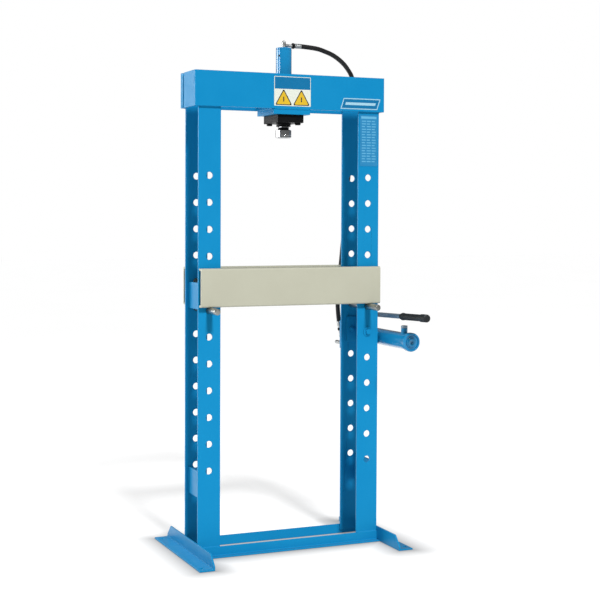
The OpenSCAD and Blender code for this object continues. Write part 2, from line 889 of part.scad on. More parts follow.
// A bolt, a washer over the pin hole and a nut, through each bar and bracket flange
module bracket_bolts() {
    grip = bar_t + bracket_gap + bracket_t;
    color(press_blue) for (face = [-1, 1]) front_rear(face)
        translate([upright_x, -frame_y, bracket_hole_z]) {
            translate([0, -bracket_washer_t - bolt_head, 0])
                rod_y(bracket_bolt_d, bracket_washer_t + bolt_head + grip + bolt_head);
            translate([0, -bracket_washer_t, 0]) rod_y(bracket_washer_d, bracket_washer_t);
            translate([0, -bracket_washer_t, 0]) rotate([90, 0, 0]) hexagon(bolt_af, bolt_head);
            translate([0, grip, 0]) rotate([-90, 0, 0]) hexagon(bolt_af, bolt_head - 2);
        }
}

// Places children at the inner mouth of each saddle bolt's hole
module saddle_bolt_places() {
    for (y = [-1, 1], z = [-1, 1])
        translate([bar_outer - bracket_t - cut, y * saddle_y, pump_z + z * saddle_bolt_z])
            children();
}

module pump_saddles() {
    color(press_blue) for (y = [-1, 1])
        difference() {
            translate([bar_outer, y * saddle_y - saddle_w / 2, pump_z - saddle_h / 2])
                cube([reservoir_gap + reservoir_d / 4, saddle_w, saddle_h]);
            translate([pump_x, -2 * saddle_y, pump_z])
                rod_y(reservoir_d + 2 * seat_gap, 4 * saddle_y);
            for (z = [-1, 1])
                translate([bar_outer - cut, y * saddle_y, pump_z + z * saddle_bolt_z])
                    rod_x(saddle_bolt_d + 2 * thread_gap, saddle_bolt_in + 2 * cut);
        }
}

module saddle_bolts() {
    head = 5;
    color(steel_black) saddle_bolt_places() translate([cut, 0, 0]) {
        translate([-head, 0, 0]) rotate([0, 90, 0]) hexagon(saddle_bolt_af, head);
        rod_x(saddle_bolt_d, bracket_t + saddle_bolt_in);
    }
}

module reservoir_tube() {
    tube_front = -reservoir_front + reservoir_cap_t;
    length = pump_head_y - tube_front;
    color(press_blue) translate([pump_x, 0, pump_z])
        difference() {
            union() {
                translate([0, tube_front, 0]) rod_y(reservoir_d, length);
                translate([0, -filler_y, 0]) cylinder(d = filler_d, h = filler_h);
            }
            translate([0, tube_front - cut, 0])
                rod_y(reservoir_d - 2 * reservoir_wall, length + 2 * cut);
            translate([0, -filler_y, 0]) cylinder(d = filler_bore, h = filler_h + cut);
        }
}

module reservoir_cap() {
    spigot = 12;
    color(press_blue) translate([pump_x, -reservoir_front, pump_z])
        difference() {
            union() {
                rod_y(reservoir_cap_d, reservoir_cap_t);
                rod_y(reservoir_d - 2 * reservoir_wall - 2 * seat_gap, reservoir_cap_t + spigot);
            }
            translate([0, -cut, 0])
                rod_y(cap_plug_d + 2 * thread_gap, reservoir_cap_t + spigot + 2 * cut);
            translate([0, -cut, 0]) rod_y(reservoir_cap_d - 2 * cap_rim, cap_recess + cut);
        }
}

module reservoir_plug() {
    color(press_blue) translate([pump_x, -reservoir_front + cap_recess, pump_z]) {
        rotate([90, 0, 0]) cylinder(d = 2 * cap_plug_d, h = cap_recess + 3);
        rod_y(cap_plug_d, reservoir_cap_t);
    }
}

module filler_plug() {
    color(zinc) translate([pump_x, -filler_y, pump_z + filler_h + face_gap]) {
        cylinder(d = filler_d, h = filler_cap_h);
        translate([0, 0, -filler_spigot])
            cylinder(d = filler_bore - 2 * slide_fit, h = filler_spigot);
    }
}

// The pump block, with two ears for the lever's fulcrum
module pump_head() {
    ear_w = 28;
    color(press_blue)
        difference() {
            union() {
                translate([pump_x - pump_head_w / 2, pump_head_y, pump_head_bottom])
                    cube([pump_head_w, pump_head_len, pump_head_top - pump_head_bottom]);
                translate([pump_x, fulcrum_y, 0]) for (side = [-1, 1])
                    translate([side * (ear_x + ear_t / 2), 0, pump_head_top])
                        block([ear_t, ear_w, fulcrum_z - pump_head_top]);
                translate([pump_x, fulcrum_y, fulcrum_z]) for (side = [-1, 1])
                    translate([side * (ear_x + ear_t / 2) - ear_t / 2, 0, 0]) rod_x(ear_w, ear_t);
            }
            translate([pump_x, plunger_y, plunger_bottom - 2])
                cylinder(d = plunger_d + 2 * rod_fit, h = pump_head_top);
            translate([pump_x - pump_head_w, fulcrum_y, fulcrum_z])
                rod_x(fulcrum_pin_d + 2 * rod_fit, 2 * pump_head_w);
            translate([pump_x, pump_head_back - release_seat, release_z])
                rod_y(release_spindle_d + 2 * slide_fit, release_seat + cut);
        }
}

module plunger_gland() {
    color(steel_black) translate([pump_x, plunger_y, pump_head_top])
        difference() {
            hexagon(gland_nut_af, gland_nut_h);
            translate([0, 0, -cut]) cylinder(d = plunger_d + 2 * rod_fit, h = gland_nut_h + 2 * cut);
        }
}

// The plunger, with a slot in its head for the lever's drive pin
module plunger() {
    slot_half = drive_pin_d / 2 + drive_play;
    slot_low = drive_rest_y - drive_pin_d / 2 - drive_play;
    slot_high = drive_top_y + drive_pin_d / 2 + drive_play;
    wall = 6;
    head_bottom_z = drive_rest_z - plunger_head_drop;
    color(zinc)
        difference() {
            union() {
                translate([pump_x, plunger_y, plunger_bottom])
                    cylinder(d = plunger_d, h = head_bottom_z - plunger_bottom);
                translate([pump_x - plunger_head_w / 2, slot_low - wall, head_bottom_z])
                    cube([
                        plunger_head_w, slot_high - slot_low + 2 * wall,
                        plunger_head_rise + plunger_head_drop
                    ]);
            }
            translate([pump_x - plunger_d, slot_low + slot_half, drive_rest_z - slot_half])
                cube([2 * plunger_d, slot_high - slot_low - 2 * slot_half, 2 * slot_half]);
            for (y = [slot_low + slot_half, slot_high - slot_half])
                translate([pump_x - plunger_d, y, drive_rest_z]) rod_x(2 * slot_half, 2 * plunger_d);
        }
}

// The release valve's spindle, with its hexagon shoulder and slotted knob
module release_valve() {
    knob_y = release_end - release_knob_len;
    spindle_y = pump_head_back - release_seat + face_gap;
    slot_w = 2;
    slot_in = 4;
    color(zinc) translate([pump_x, 0, release_z])
        difference() {
            union() {
                translate([0, spindle_y, 0]) rod_y(release_spindle_d, knob_y - spindle_y);
                translate([0, pump_head_back + face_gap, 0]) rotate([-90, 0, 0])
                    hexagon(release_nut_af, release_nut_len);
                translate([0, knob_y, 0]) rod_y(release_knob_d, release_knob_len);
            }
            translate([-slot_w / 2, release_end - slot_in, -release_knob_d])
                cube([slot_w, slot_in + cut, 2 * release_knob_d]);
        }
}

// Puts children in the lever's own frame: the fulcrum is the origin and -Y runs out along it
module on_lever() {
    translate([pump_x, fulcrum_y, fulcrum_z]) rotate([-lever_rest_angle, 0, 0]) children();
}

module lever_pins() {
    fulcrum_len = 2 * (ear_x + ear_t) + 4;
    drive_len = 2 * (cheek_x + cheek_t);
    color(zinc) on_lever() {
        translate([-fulcrum_len / 2, 0, 0]) rod_x(fulcrum_pin_d, fulcrum_len);
        translate([-drive_len / 2, -drive_arm, 0]) rod_x(drive_pin_d, drive_len);
    }
}

// Two cheeks on the fulcrum and the drive pin, with the handle's socket between their far ends
module lever_fork() {
    socket_d = handle_d + 2 * handle_fit + 2 * socket_wall;
    color(press_blue) on_lever()
        difference() {
            union() {
                for (side = [-1, 1])
                    translate([side * (cheek_x + cheek_t / 2) - cheek_t / 2, 0, 0]) {
                        translate([0, -fork_len, -cheek_h / 2]) cube([cheek_t, fork_len, cheek_h]);
                        rod_x(cheek_h, cheek_t);
                    }
                translate([0, -fork_len + fork_lap, 0]) rotate([90, 0, 0])
                    cylinder(d = socket_d, h = socket_len);
            }
            translate([0, -fork_len + fork_lap - socket_floor, 0]) rotate([90, 0, 0])
                cylinder(d = handle_d + 2 * handle_fit, h = socket_len);
            translate([-socket_d, 0, 0]) rod_x(fulcrum_pin_d + 2 * pin_fit, 2 * socket_d);
            translate([-socket_d, -drive_arm, 0]) rod_x(drive_pin_d + 2 * pin_fit, 2 * socket_d);
        }
}

module lever_handle() {
    inner_end = fork_len - fork_lap + socket_floor + handle_fit;
    color(zinc) on_lever() translate([0, -inner_end, 0]) rotate([90, 0, 0])
        difference() {
            cylinder(d = handle_d, h = handle_reach - inner_end - grip_end_wall);
            translate([0, 0, -cut])
                cylinder(d = handle_d - 2 * handle_wall, h = handle_reach - inner_end + cut);
        }
}

// The ribbed grip, with a flared collar at its end
module handle_grip() {
    collar_len = 50;
    collar_r = grip_d / 2 + 2;
    ring_at = 14;
    color(rubber_black) on_lever() translate([0, -handle_reach, 0]) rotate([-90, 0, 0])
        rotate_extrude()
            polygon([
                [0, 0], [collar_r - 2, 0], [collar_r, 2], [collar_r, collar_len - 6],
                [grip_d / 2, collar_len], [grip_d / 2, grip_len - ring_at - 8],
                [grip_d / 2 + 1.5, grip_len - ring_at - 6], [grip_d / 2 + 1.5, grip_len - ring_at],
                [grip_d / 2, grip_len - ring_at + 2], [grip_d / 2 - 2, grip_len],
                [handle_d / 2 + pin_fit, grip_len],
                [handle_d / 2 + pin_fit, grip_end_wall - pin_fit], [0, grip_end_wall - pin_fit]
            ]);
}

// ---- the assembly --------------------------------------------------------------------

upright_bar(-1, 1);  // upright_bar_front_left
upright_bar(1, 1);  // upright_bar_front_right
upright_bar(-1, -1);  // upright_bar_rear_left
upright_bar(1, -1);  // upright_bar_rear_right
battens(-1);  // battens_left
battens(1);  // battens_right
head_beam_front();
head_beam_rear();
head_end_plates();
head_stiffeners();
cylinder_mount_plate();
foot(-1);  // foot_left
foot(1);  // foot_right
base_rail(1);  // base_rail_front
base_rail(-1);  // base_rail_rear
capacity_plate();
badge_plate();
instruction_plate();
cylinder_barrel();
cylinder_cap();
cap_lock_screw();
cylinder_flange();
flange_bolts();
rod_gland();
rod_wiper();
piston();
piston_seal();
ram_rod();
ram_collar();
ram_nose();
return_spring();
inlet_elbow();
inlet_nut();
hose_ferrule_upper();
hydraulic_hose();
hose_ferrule_lower();
outlet_nut();
outlet_elbow();
bed_channel(1);  // bed_channel_front
bed_channel(-1);  // bed_channel_rear
bed_spacers();
bed_pin(-1);  // bed_pin_left
bed_pin(1);  // bed_pin_right
pump_bracket();
bracket_bolts();
pump_saddles();
saddle_bolts();
reservoir_tube();
reservoir_cap();
reservoir_plug();
filler_plug();
pump_head();
plunger_gland();
plunger();
release_valve();
lever_pins();
lever_fork();
lever_handle();
handle_grip();
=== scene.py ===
"""The looks of a floor-standing hydraulic shop press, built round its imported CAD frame."""

import logging
import math
from contextlib import contextmanager
from dataclasses import dataclass, replace
from enum import Enum
from typing import Callable, Iterator, List, Sequence, Tuple, Union

import bmesh
import bpy
from mathutils import Matrix, Vector


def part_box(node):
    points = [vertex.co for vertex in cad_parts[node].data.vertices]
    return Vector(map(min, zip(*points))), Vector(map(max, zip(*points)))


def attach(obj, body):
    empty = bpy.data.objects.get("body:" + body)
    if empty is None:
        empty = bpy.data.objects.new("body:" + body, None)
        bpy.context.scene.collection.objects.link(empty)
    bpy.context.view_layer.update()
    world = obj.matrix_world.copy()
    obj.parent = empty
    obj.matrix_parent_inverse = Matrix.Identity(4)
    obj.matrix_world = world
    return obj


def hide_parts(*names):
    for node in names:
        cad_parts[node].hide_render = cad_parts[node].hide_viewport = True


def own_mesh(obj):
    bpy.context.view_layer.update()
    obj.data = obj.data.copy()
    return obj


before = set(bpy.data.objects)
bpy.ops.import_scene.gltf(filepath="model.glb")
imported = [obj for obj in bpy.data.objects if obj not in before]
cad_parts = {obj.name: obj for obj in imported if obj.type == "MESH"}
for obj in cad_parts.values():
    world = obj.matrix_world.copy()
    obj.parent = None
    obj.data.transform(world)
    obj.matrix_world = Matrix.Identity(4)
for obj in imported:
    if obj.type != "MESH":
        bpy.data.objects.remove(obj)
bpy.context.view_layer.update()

Vec = Union[Tuple[float, float, float], Vector]
Colour = Tuple[float, float, float]
Piece = bpy.types.Object
log = logging.getLogger("press")

UP: Vec = (0.0, 0.0, 1.0)
DOWN: Vec = (0.0, 0.0, -1.0)
FRONT: Vec = (0.0, -1.0, 0.0)
BACK: Vec = (0.0, 1.0, 0.0)
RIGHT: Vec = (1.0, 0.0, 0.0)
MERGE_M = 1e-5
NEAR_M = 1e-4
TURN_STEPS = 40
RIPPLE_M = 0.005
RIPPLE_DEPTH = 0.16
FLAT = math.radians(0.5)
SHARP = math.radians(28)
SMOOTH = math.radians(50)


# ---- the bench: picking, shaping and joining ----------------------------------------------


class Kind(Enum):
    """What an edit-mode pick selects."""

    POINT = "VERT"
    EDGE = "EDGE"
    FACE = "FACE"


def take(piece: Piece) -> Piece:
    """Makes a piece the only selected one, and the active one, and returns it."""
    for other in bpy.context.selected_objects:
        other.select_set(False)
    piece.select_set(True)
    bpy.context.view_layer.objects.active = piece
    return piece


@contextmanager
def shaping(piece: Piece, kind: Kind = Kind.FACE) -> Iterator[None]:
    """Edit mode on one piece, with nothing selected at first.

    Args:
        piece: the mesh to shape.
        kind: what the picks select.
    """
    take(piece)
    bpy.ops.object.mode_set(mode="EDIT")
    bpy.ops.mesh.select_mode(type=kind.value)
    bpy.ops.mesh.select_all(action="DESELECT")
    yield
    bpy.ops.object.mode_set(mode="OBJECT")


def pick(piece: Piece, kind: Kind, test: Callable[[Vector, Vector], bool]) -> int:
    """Selects the points, edges or faces that pass a test, in edit mode.

    Args:
        piece: the mesh in edit mode.
        kind: what is tested.
        test: takes each one's middle and its normal, or an edge's unit run.

    Returns:
        How many passed.
    """
    mesh = bmesh.from_edit_mesh(piece.data)
    mesh.normal_update()
    bpy.ops.mesh.select_all(action="DESELECT")
    chosen = 0
    parts = {Kind.POINT: mesh.verts, Kind.EDGE: mesh.edges, Kind.FACE: mesh.faces}[kind]
    for part in parts:
        if kind is Kind.POINT:
            middle, way = part.co, part.normal
        elif kind is Kind.EDGE:
            low, high = (v.co for v in part.verts)
            middle, way = (low + high) / 2, (high - low).normalized()
        else:
            middle, way = part.calc_center_median(), part.normal
        if test(middle, way):
            part.select_set(True)
            chosen += 1
    mesh.select_flush_mode()
    bmesh.update_edit_mesh(piece.data)
    return chosen


def settle(piece: Piece) -> Piece:
    """Puts a piece's place and turn into its mesh, and returns it."""
    take(piece)
    bpy.ops.object.transform_apply(location=True, rotation=True, scale=True)
    return piece


def fresh(name: str) -> Piece:
    """Settles and names the piece that was just added, and returns it."""
    piece = settle(bpy.context.object)
    piece.name = piece.data.name = name
    return piece


def added(name: str, data: bpy.types.ID) -> bpy.types.Object:
    """Adds an object to the scene.

    Args:
        name: the object's name.
        data: its mesh, curve, light or camera.

    Returns:
        The object.
    """
    thing = bpy.data.objects.new(name, data)
    bpy.context.scene.collection.objects.link(thing)
    return thing


def middle_of(node: str) -> Vec:
    """The middle of a CAD node's box."""
    low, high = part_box(node)
    return (low.x + high.x) / 2, (low.y + high.y) / 2, (low.z + high.z) / 2


def close(first: float, second: float) -> bool:
    """Whether two measures are the same but for rounding."""
    return abs(first - second) < NEAR_M


def place(piece: Piece, at: Vec, along: Vec, turn: float = 0.0) -> Piece:
    """Stands a piece made on the Z axis at a point, along a direction.

    Args:
        piece: the piece, made upwards from the origin.
        at: where its origin goes.
        along: where its +Z goes.
        turn: its turn about its own axis, in radians.

    Returns:
        The piece.
    """
    way = Vector(along).normalized().to_track_quat("Z", "Y").to_matrix().to_4x4()
    piece.matrix_world = Matrix.Translation(at) @ way @ Matrix.Rotation(turn, 4, "Z")
    return settle(piece)


def applied(piece: Piece, kind: str, **values: object) -> Piece:
    """Adds a modifier to a piece, applies it and returns the piece.

    Args:
        piece: the mesh to change.
        kind: the modifier's type.
        values: the modifier's settings.

    Returns:
        The piece.
    """
    take(piece)
    modifier = piece.modifiers.new(kind.lower(), kind)
    for key, value in values.items():
        setattr(modifier, key, value)
    bpy.ops.object.modifier_apply(modifier=modifier.name)
    return piece


def smoothed(piece: Piece) -> Piece:
    """Shades a piece smooth over its eased edges and flat on its faces."""
    take(piece)
    bpy.ops.object.shade_smooth_by_angle(angle=SMOOTH)
    return applied(piece, "WEIGHTED_NORMAL", keep_sharp=True)


def joined(name: str, parts: Sequence[Piece]) -> Piece:
    """Joins several pieces into one.

    Args:
        name: the joined piece's name.
        parts: the pieces; the first keeps its object.

    Returns:
        The joined piece.
    """
    take(parts[0])
    for part in parts:
        part.select_set(True)
    if len(parts) > 1:
        bpy.ops.object.join()
    parts[0].name = parts[0].data.name = name
    return parts[0]


def copied(piece: Piece, shifts: Sequence[Vec]) -> Piece:
    """Copies a piece to several places and joins the copies with it.

    Args:
        piece: the first one, in its place.
        shifts: how far each copy stands from it.

    Returns:
        The joined piece.
    """
    name, parts = piece.name, [piece]
    for shift in shifts:
        take(piece)
        bpy.ops.object.duplicate(linked=False)
        copy = bpy.context.object
        copy.location = shift
        parts.append(settle(copy))
    return joined(name, parts)


def hollowed(piece: Piece, cutter: Piece, operation: str = "DIFFERENCE") -> Piece:
    """Cuts one piece with another, which is used up.

    Args:
        piece: the piece to cut.
        cutter: the closed shape that cuts it.
        operation: "DIFFERENCE", or "INTERSECT" to keep what is inside the cutter.

    Returns:
        The cut piece.
    """
    applied(piece, "BOOLEAN", operation=operation, object=cutter, solver="EXACT")
    bpy.data.objects.remove(cutter)
    return piece


# ---- shapes that several sub-assemblies share ---------------------------------------------


@dataclass(frozen=True)
class Bend:
    """A long edge that is bent or rolled, and rounded more than the rest.

    Attributes:
        run: the edge's direction.
        middle: tells by an edge's middle whether it is one of them.
        radius: the radius of the bend.
        steps: how many faces go round it.
    """

    run: Vec
    middle: Callable[[Vector], bool]
    radius: float
    steps: int = 4


def eased_copy(node: str, width: float = 0.0008, bends: Sequence[Bend] = ()) -> Piece:
    """Copies a CAD node, merges its mesh and eases its sharp edges.

    Args:
        node: the CAD node.
        width: how far the eased edges reach.
        bends: the edges that get a larger radius first.

    Returns:
        The new piece, which doesn't ride yet.
    """
    piece = added("made_" + node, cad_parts[node].data.copy())
    with shaping(piece, Kind.EDGE):
        bpy.ops.mesh.select_all(action="SELECT")
        bpy.ops.mesh.remove_doubles(threshold=MERGE_M)
        bpy.ops.mesh.dissolve_limited(angle_limit=FLAT)
        bpy.ops.mesh.customdata_custom_splitnormals_clear()
        for bend in bends:
            run = Vector(bend.run)
            pick(piece, Kind.EDGE, lambda at, way: abs(way.dot(run)) > 0.99 and bend.middle(at))
            bpy.ops.mesh.bevel(offset=bend.radius, segments=bend.steps, clamp_overlap=False)
        bpy.ops.mesh.select_all(action="DESELECT")
        bpy.ops.mesh.edges_select_sharp(sharpness=SHARP)
        bpy.ops.mesh.bevel(offset=width, segments=1, clamp_overlap=False)
    low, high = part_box(node)
    for point in piece.data.vertices:
        point.co = [min(max(point.co[k], low[k]), high[k]) for k in range(3)]
    return smoothed(piece)


def turned(
    name: str,
    profile: Sequence[Tuple[float, float]],
    at: Vec = (0, 0, 0),
    along: Vec = UP,
    ease: float = 0.0004,
    steps: int = TURN_STEPS,
) -> Piece:
    """Turns a profile as on a lathe.

    Args:
        name: the piece's name.
        profile: (radius, height) pairs; it closes on the axis, or on itself if it is a ring.
        at: where the profile's height 0 stands.
        along: the axis, towards greater heights.
        ease: how far its sharp edges are eased.
        steps: how many faces go round.

    Returns:
        The turned piece.
    """
    path = list(profile)
    if path[0][0] > 0:
        path.append(path[0])
    bpy.ops.mesh.primitive_plane_add(size=0.001, location=(path[0][0], 0, path[0][1]))
    piece = fresh(name)
    with shaping(piece, Kind.POINT):
        bpy.ops.mesh.select_all(action="SELECT")
        bpy.ops.mesh.merge(type="CENTER")
        for (r0, z0), (r1, z1) in zip(path, path[1:]):
            bpy.ops.mesh.extrude_vertices_move(
                TRANSFORM_OT_translate={"value": (r1 - r0, 0, z1 - z0)}
            )
        bpy.ops.mesh.select_all(action="SELECT")
        bpy.ops.mesh.spin(steps=steps, angle=2 * math.pi, center=(0, 0, 0), axis=UP)
        bpy.ops.mesh.select_all(action="SELECT")
        bpy.ops.mesh.remove_doubles(threshold=MERGE_M)
        bpy.ops.mesh.normals_make_consistent(inside=False)
        if ease > 0:
            bpy.ops.mesh.select_mode(type="EDGE")
            bpy.ops.mesh.select_all(action="DESELECT")
            bpy.ops.mesh.edges_select_sharp(sharpness=SHARP)
            bpy.ops.mesh.bevel(offset=ease, segments=1, clamp_overlap=True)
    return smoothed(place(piece, at, along))


def section(outer: float, high: float, inner: float = 0, low: float = 0) -> List[Tuple[float, float]]:
    """The profile of a plain disc or ring."""
    return [(inner, low), (outer, low), (outer, high), (inner, high)]


def knurl(piece: Piece, radius: float, low: float, high: float, depth: float) -> None:
    """Presses grooves along a turned piece that still stands on the Z axis.

    Args:
        piece: the turned piece, of TURN_STEPS steps.
        radius: the knurled surface's radius.
        low: where the grooves start.
        high: where they end.
        depth: how deep they are.
    """

    def in_groove(at: Vector, way: Vector) -> bool:
        step = round(math.atan2(at.y, at.x) / math.tau * TURN_STEPS)
        return step % 2 == 0 and low < at.z < high and math.hypot(at.x, at.y) > radius - 0.0012

    with shaping(piece, Kind.POINT):
        pick(piece, Kind.POINT, in_groove)
        inner = 1 - depth / radius
        bpy.ops.transform.resize(value=(inner, inner, 1), center_override=(0, 0, 0))


def hexagon(
    name: str,
    across: float,
    height: float,
    at: Vec,
    along: Vec,
    both: bool = False,
    turn: float = 0.0,
) -> Piece:
    """Makes a hexagon head or nut with the chamfer that a real one has.

    Args:
        name: the piece's name.
        across: its width across the flats.
        height: its height.
        at: the middle of its seat.
        along: the way it stands.
        both: chamfers the seat's side too.
        turn: its turn about its axis.

    Returns:
        The piece.
    """
    corner = across / math.sqrt(3)
    crown = across / 2 * 0.95
    drop = (corner - crown) * math.tan(math.radians(30))
    low = [(0, 0), (crown, 0), (corner * 1.01, drop)] if both else [(0, 0), (corner * 1.01, 0)]
    stock = turned(
        name + "_stock",
        low + [(corner * 1.01, height - drop), (crown, height), (0, height)],
        ease=0,
        steps=48,
    )
    bpy.ops.mesh.primitive_cylinder_add(
        vertices=6, radius=corner, depth=height, location=(0, 0, height / 2)
    )
    piece = fresh(name)
    hollowed(piece, stock, "INTERSECT")
    return smoothed(place(piece, at, along, turn))


def hex_socket(piece: Piece, across: float, depth: float, at: Vec, along: Vec) -> Piece:
    """Sinks a hexagon socket into a piece.

    Args:
        piece: the piece to cut.
        across: the socket's width across the flats.
        depth: how deep it goes.
        at: the middle of its mouth.
        along: the way out of it.

    Returns:
        The piece.
    """
    bpy.ops.mesh.primitive_cylinder_add(vertices=6, radius=across / math.sqrt(3), depth=2 * depth)
    return hollowed(piece, place(bpy.context.object, at, along))


def weld_bead(start: Vec, end: Vec, radius: float = 0.003) -> Piece:
    """Lays a straight weld bead with the ripples of its passes.

    Args:
        start: where the bead starts.
        end: where it ends.
        radius: its radius about the corner that it fills.

    Returns:
        The bead.
    """
    run = Vector(end) - Vector(start)
    ripples = max(2 * round(run.length / RIPPLE_M), 4)
    bpy.ops.mesh.primitive_cylinder_add(
        vertices=8, radius=radius, depth=run.length, location=(0, 0, run.length / 2)
    )
    bead = fresh("bead")
    pitch = run.length / ripples
    with shaping(bead, Kind.EDGE):
        pick(bead, Kind.EDGE, lambda at, way: abs(way.z) > 0.9)
        bpy.ops.mesh.subdivide(number_cuts=ripples - 1)
        bpy.ops.mesh.select_mode(type="VERT")
        pick(bead, Kind.POINT, lambda at, way: round(at.z / pitch) % 2 == 0)
        bpy.ops.transform.shrink_fatten(value=-RIPPLE_DEPTH * radius)
        bpy.ops.mesh.select_mode(type="FACE")
        pick(bead, Kind.FACE, lambda at, way: abs(way.z) > 0.9)
        bpy.ops.mesh.inset(thickness=0.4 * radius, depth=0.25 * radius)
    return place(bead, start, run)


def riser(x: float, y: float, low: float, high: float, radius: float) -> Piece:
    """Lays an upright weld bead."""
    return weld_bead((x, y, low), (x, y, high), radius)


def course(y: float, z: float, start: float, end: float, radius: float) -> Piece:
    """Lays a level weld bead along X."""
    return weld_bead((start, y, z), (end, y, z), radius)


def ring_bead(at: Vec, along: Vec, major: float, radius: float = 0.003) -> Piece:
    """Lays a weld bead round a tube.

    Args:
        at: the ring's middle.
        along: the tube's axis.
        major: the tube's radius.
        radius: the bead's own radius.

    Returns:
        The bead.
    """
    steps = 2 * round(math.tau * major / RIPPLE_M)
    bpy.ops.mesh.primitive_torus_add(
        major_radius=major, minor_radius=radius, major_segments=steps, minor_segments=8
    )
    bead = bpy.context.object
    with shaping(bead, Kind.POINT):
        pick(bead, Kind.POINT,
             lambda at, way: round(math.atan2(at.y, at.x) / math.tau * steps) % 2 == 0)
        bpy.ops.transform.shrink_fatten(value=-RIPPLE_DEPTH * radius)
    return place(bead, at, along)


def film(name: str, outline: Sequence[Vec], thick: float = 0.0001) -> Piece:
    """Cuts a thin plate whose front faces -Y.

    Args:
        name: the piece's name.
        outline: its corners, anticlockwise as seen from the front.
        thick: how thick it is, forwards.

    Returns:
        The plate.
    """
    bpy.ops.mesh.primitive_circle_add(vertices=len(outline), radius=0.01, fill_type="NGON")
    piece = fresh(name)
    for point, corner in zip(piece.data.vertices, outline):
        point.co = corner
    with shaping(piece, Kind.FACE):
        bpy.ops.mesh.select_all(action="SELECT")
        bpy.ops.mesh.extrude_region_move(TRANSFORM_OT_translate={"value": (0, -thick, 0)})
        bpy.ops.mesh.select_all(action="SELECT")
        bpy.ops.mesh.normals_make_consistent(inside=False)
    return piece


def panel(name: str, x: float, z: float, width: float, height: float, y: float,
          thick: float = 0.0001) -> Piece:
    """Cuts a thin upright rectangle.

    Args:
        name: the piece's name.
        x: its middle.
        z: its middle height.
        width: its width.
        height: its height.
        y: where its back lies.
        thick: its thickness.

    Returns:
        The plate.
    """
    w, h = width / 2, height / 2
    corners = [(x - w, y, z - h), (x + w, y, z - h), (x + w, y, z + h), (x - w, y, z + h)]
    return film(name, corners, thick)


# ---- finishes -----------------------------------------------------------------------------


def shade(red: float, green: float, blue: float) -> Colour:
    """The linear colour of a 0 to 255 screen colour."""

    def linear(value: float) -> float:
        share = value / 255
        return share / 12.92 if share <= 0.04045 else ((share + 0.055) / 1.055) ** 2.4

    return linear(red), linear(green), linear(blue)


DUST = shade(170, 176, 178)


class Grain(Enum):
    """The fine relief of a surface."""

    PEEL = "peel"        # the slight orange peel of a sprayed coat
    CAST = "cast"        # fine pits and swells
    LAY = "lay"          # the marks that turning or drawing leaves
    WRAP = "wrap"        # the cloth print of a wrapped hose


@dataclass(frozen=True)
class Finish:
    """A surface finish, and the record's slot that it belongs to.

    Attributes:
        slot: the record's material slot.
        colour: the main colour.
        patch: the colour that it drifts towards.
        drift: how far it drifts, from 0 to 1.
        patches: patches per metre.
        gloss: the lowest and highest roughness.
        metal: 1 on bare or plated metal.
        specular: the strength of its mirror shine.
        tinted: whether the straight-on shine takes the surface's own colour.
        grain: the kind of fine relief.
        fine: grains per metre.
        depth: the relief's depth.
        stretch: how the grain is squeezed along X, Y and Z.
        dust: how much pale dust lies on upward faces.
        coat: the clear coat's weight.
        label: its own name, if several finishes share the slot.
    """

    slot: str
    colour: Colour
    patch: Colour
    drift: float = 0.3
    patches: float = 6.0
    gloss: Tuple[float, float] = (0.3, 0.45)
    metal: float = 0.0
    specular: float = 0.5
    tinted: bool = False
    grain: Grain = Grain.PEEL
    fine: float = 260.0
    depth: float = 0.00004
    stretch: Vec = (1, 1, 1)
    dust: float = 0.0
    coat: float = 0.0
    label: str = ""

    def material(self) -> bpy.types.Material:
        """The finish's material, made the first time it is asked for."""
        name = "finish_" + (self.label or self.slot)
        return bpy.data.materials.get(name) or Nodes(name).build(self)


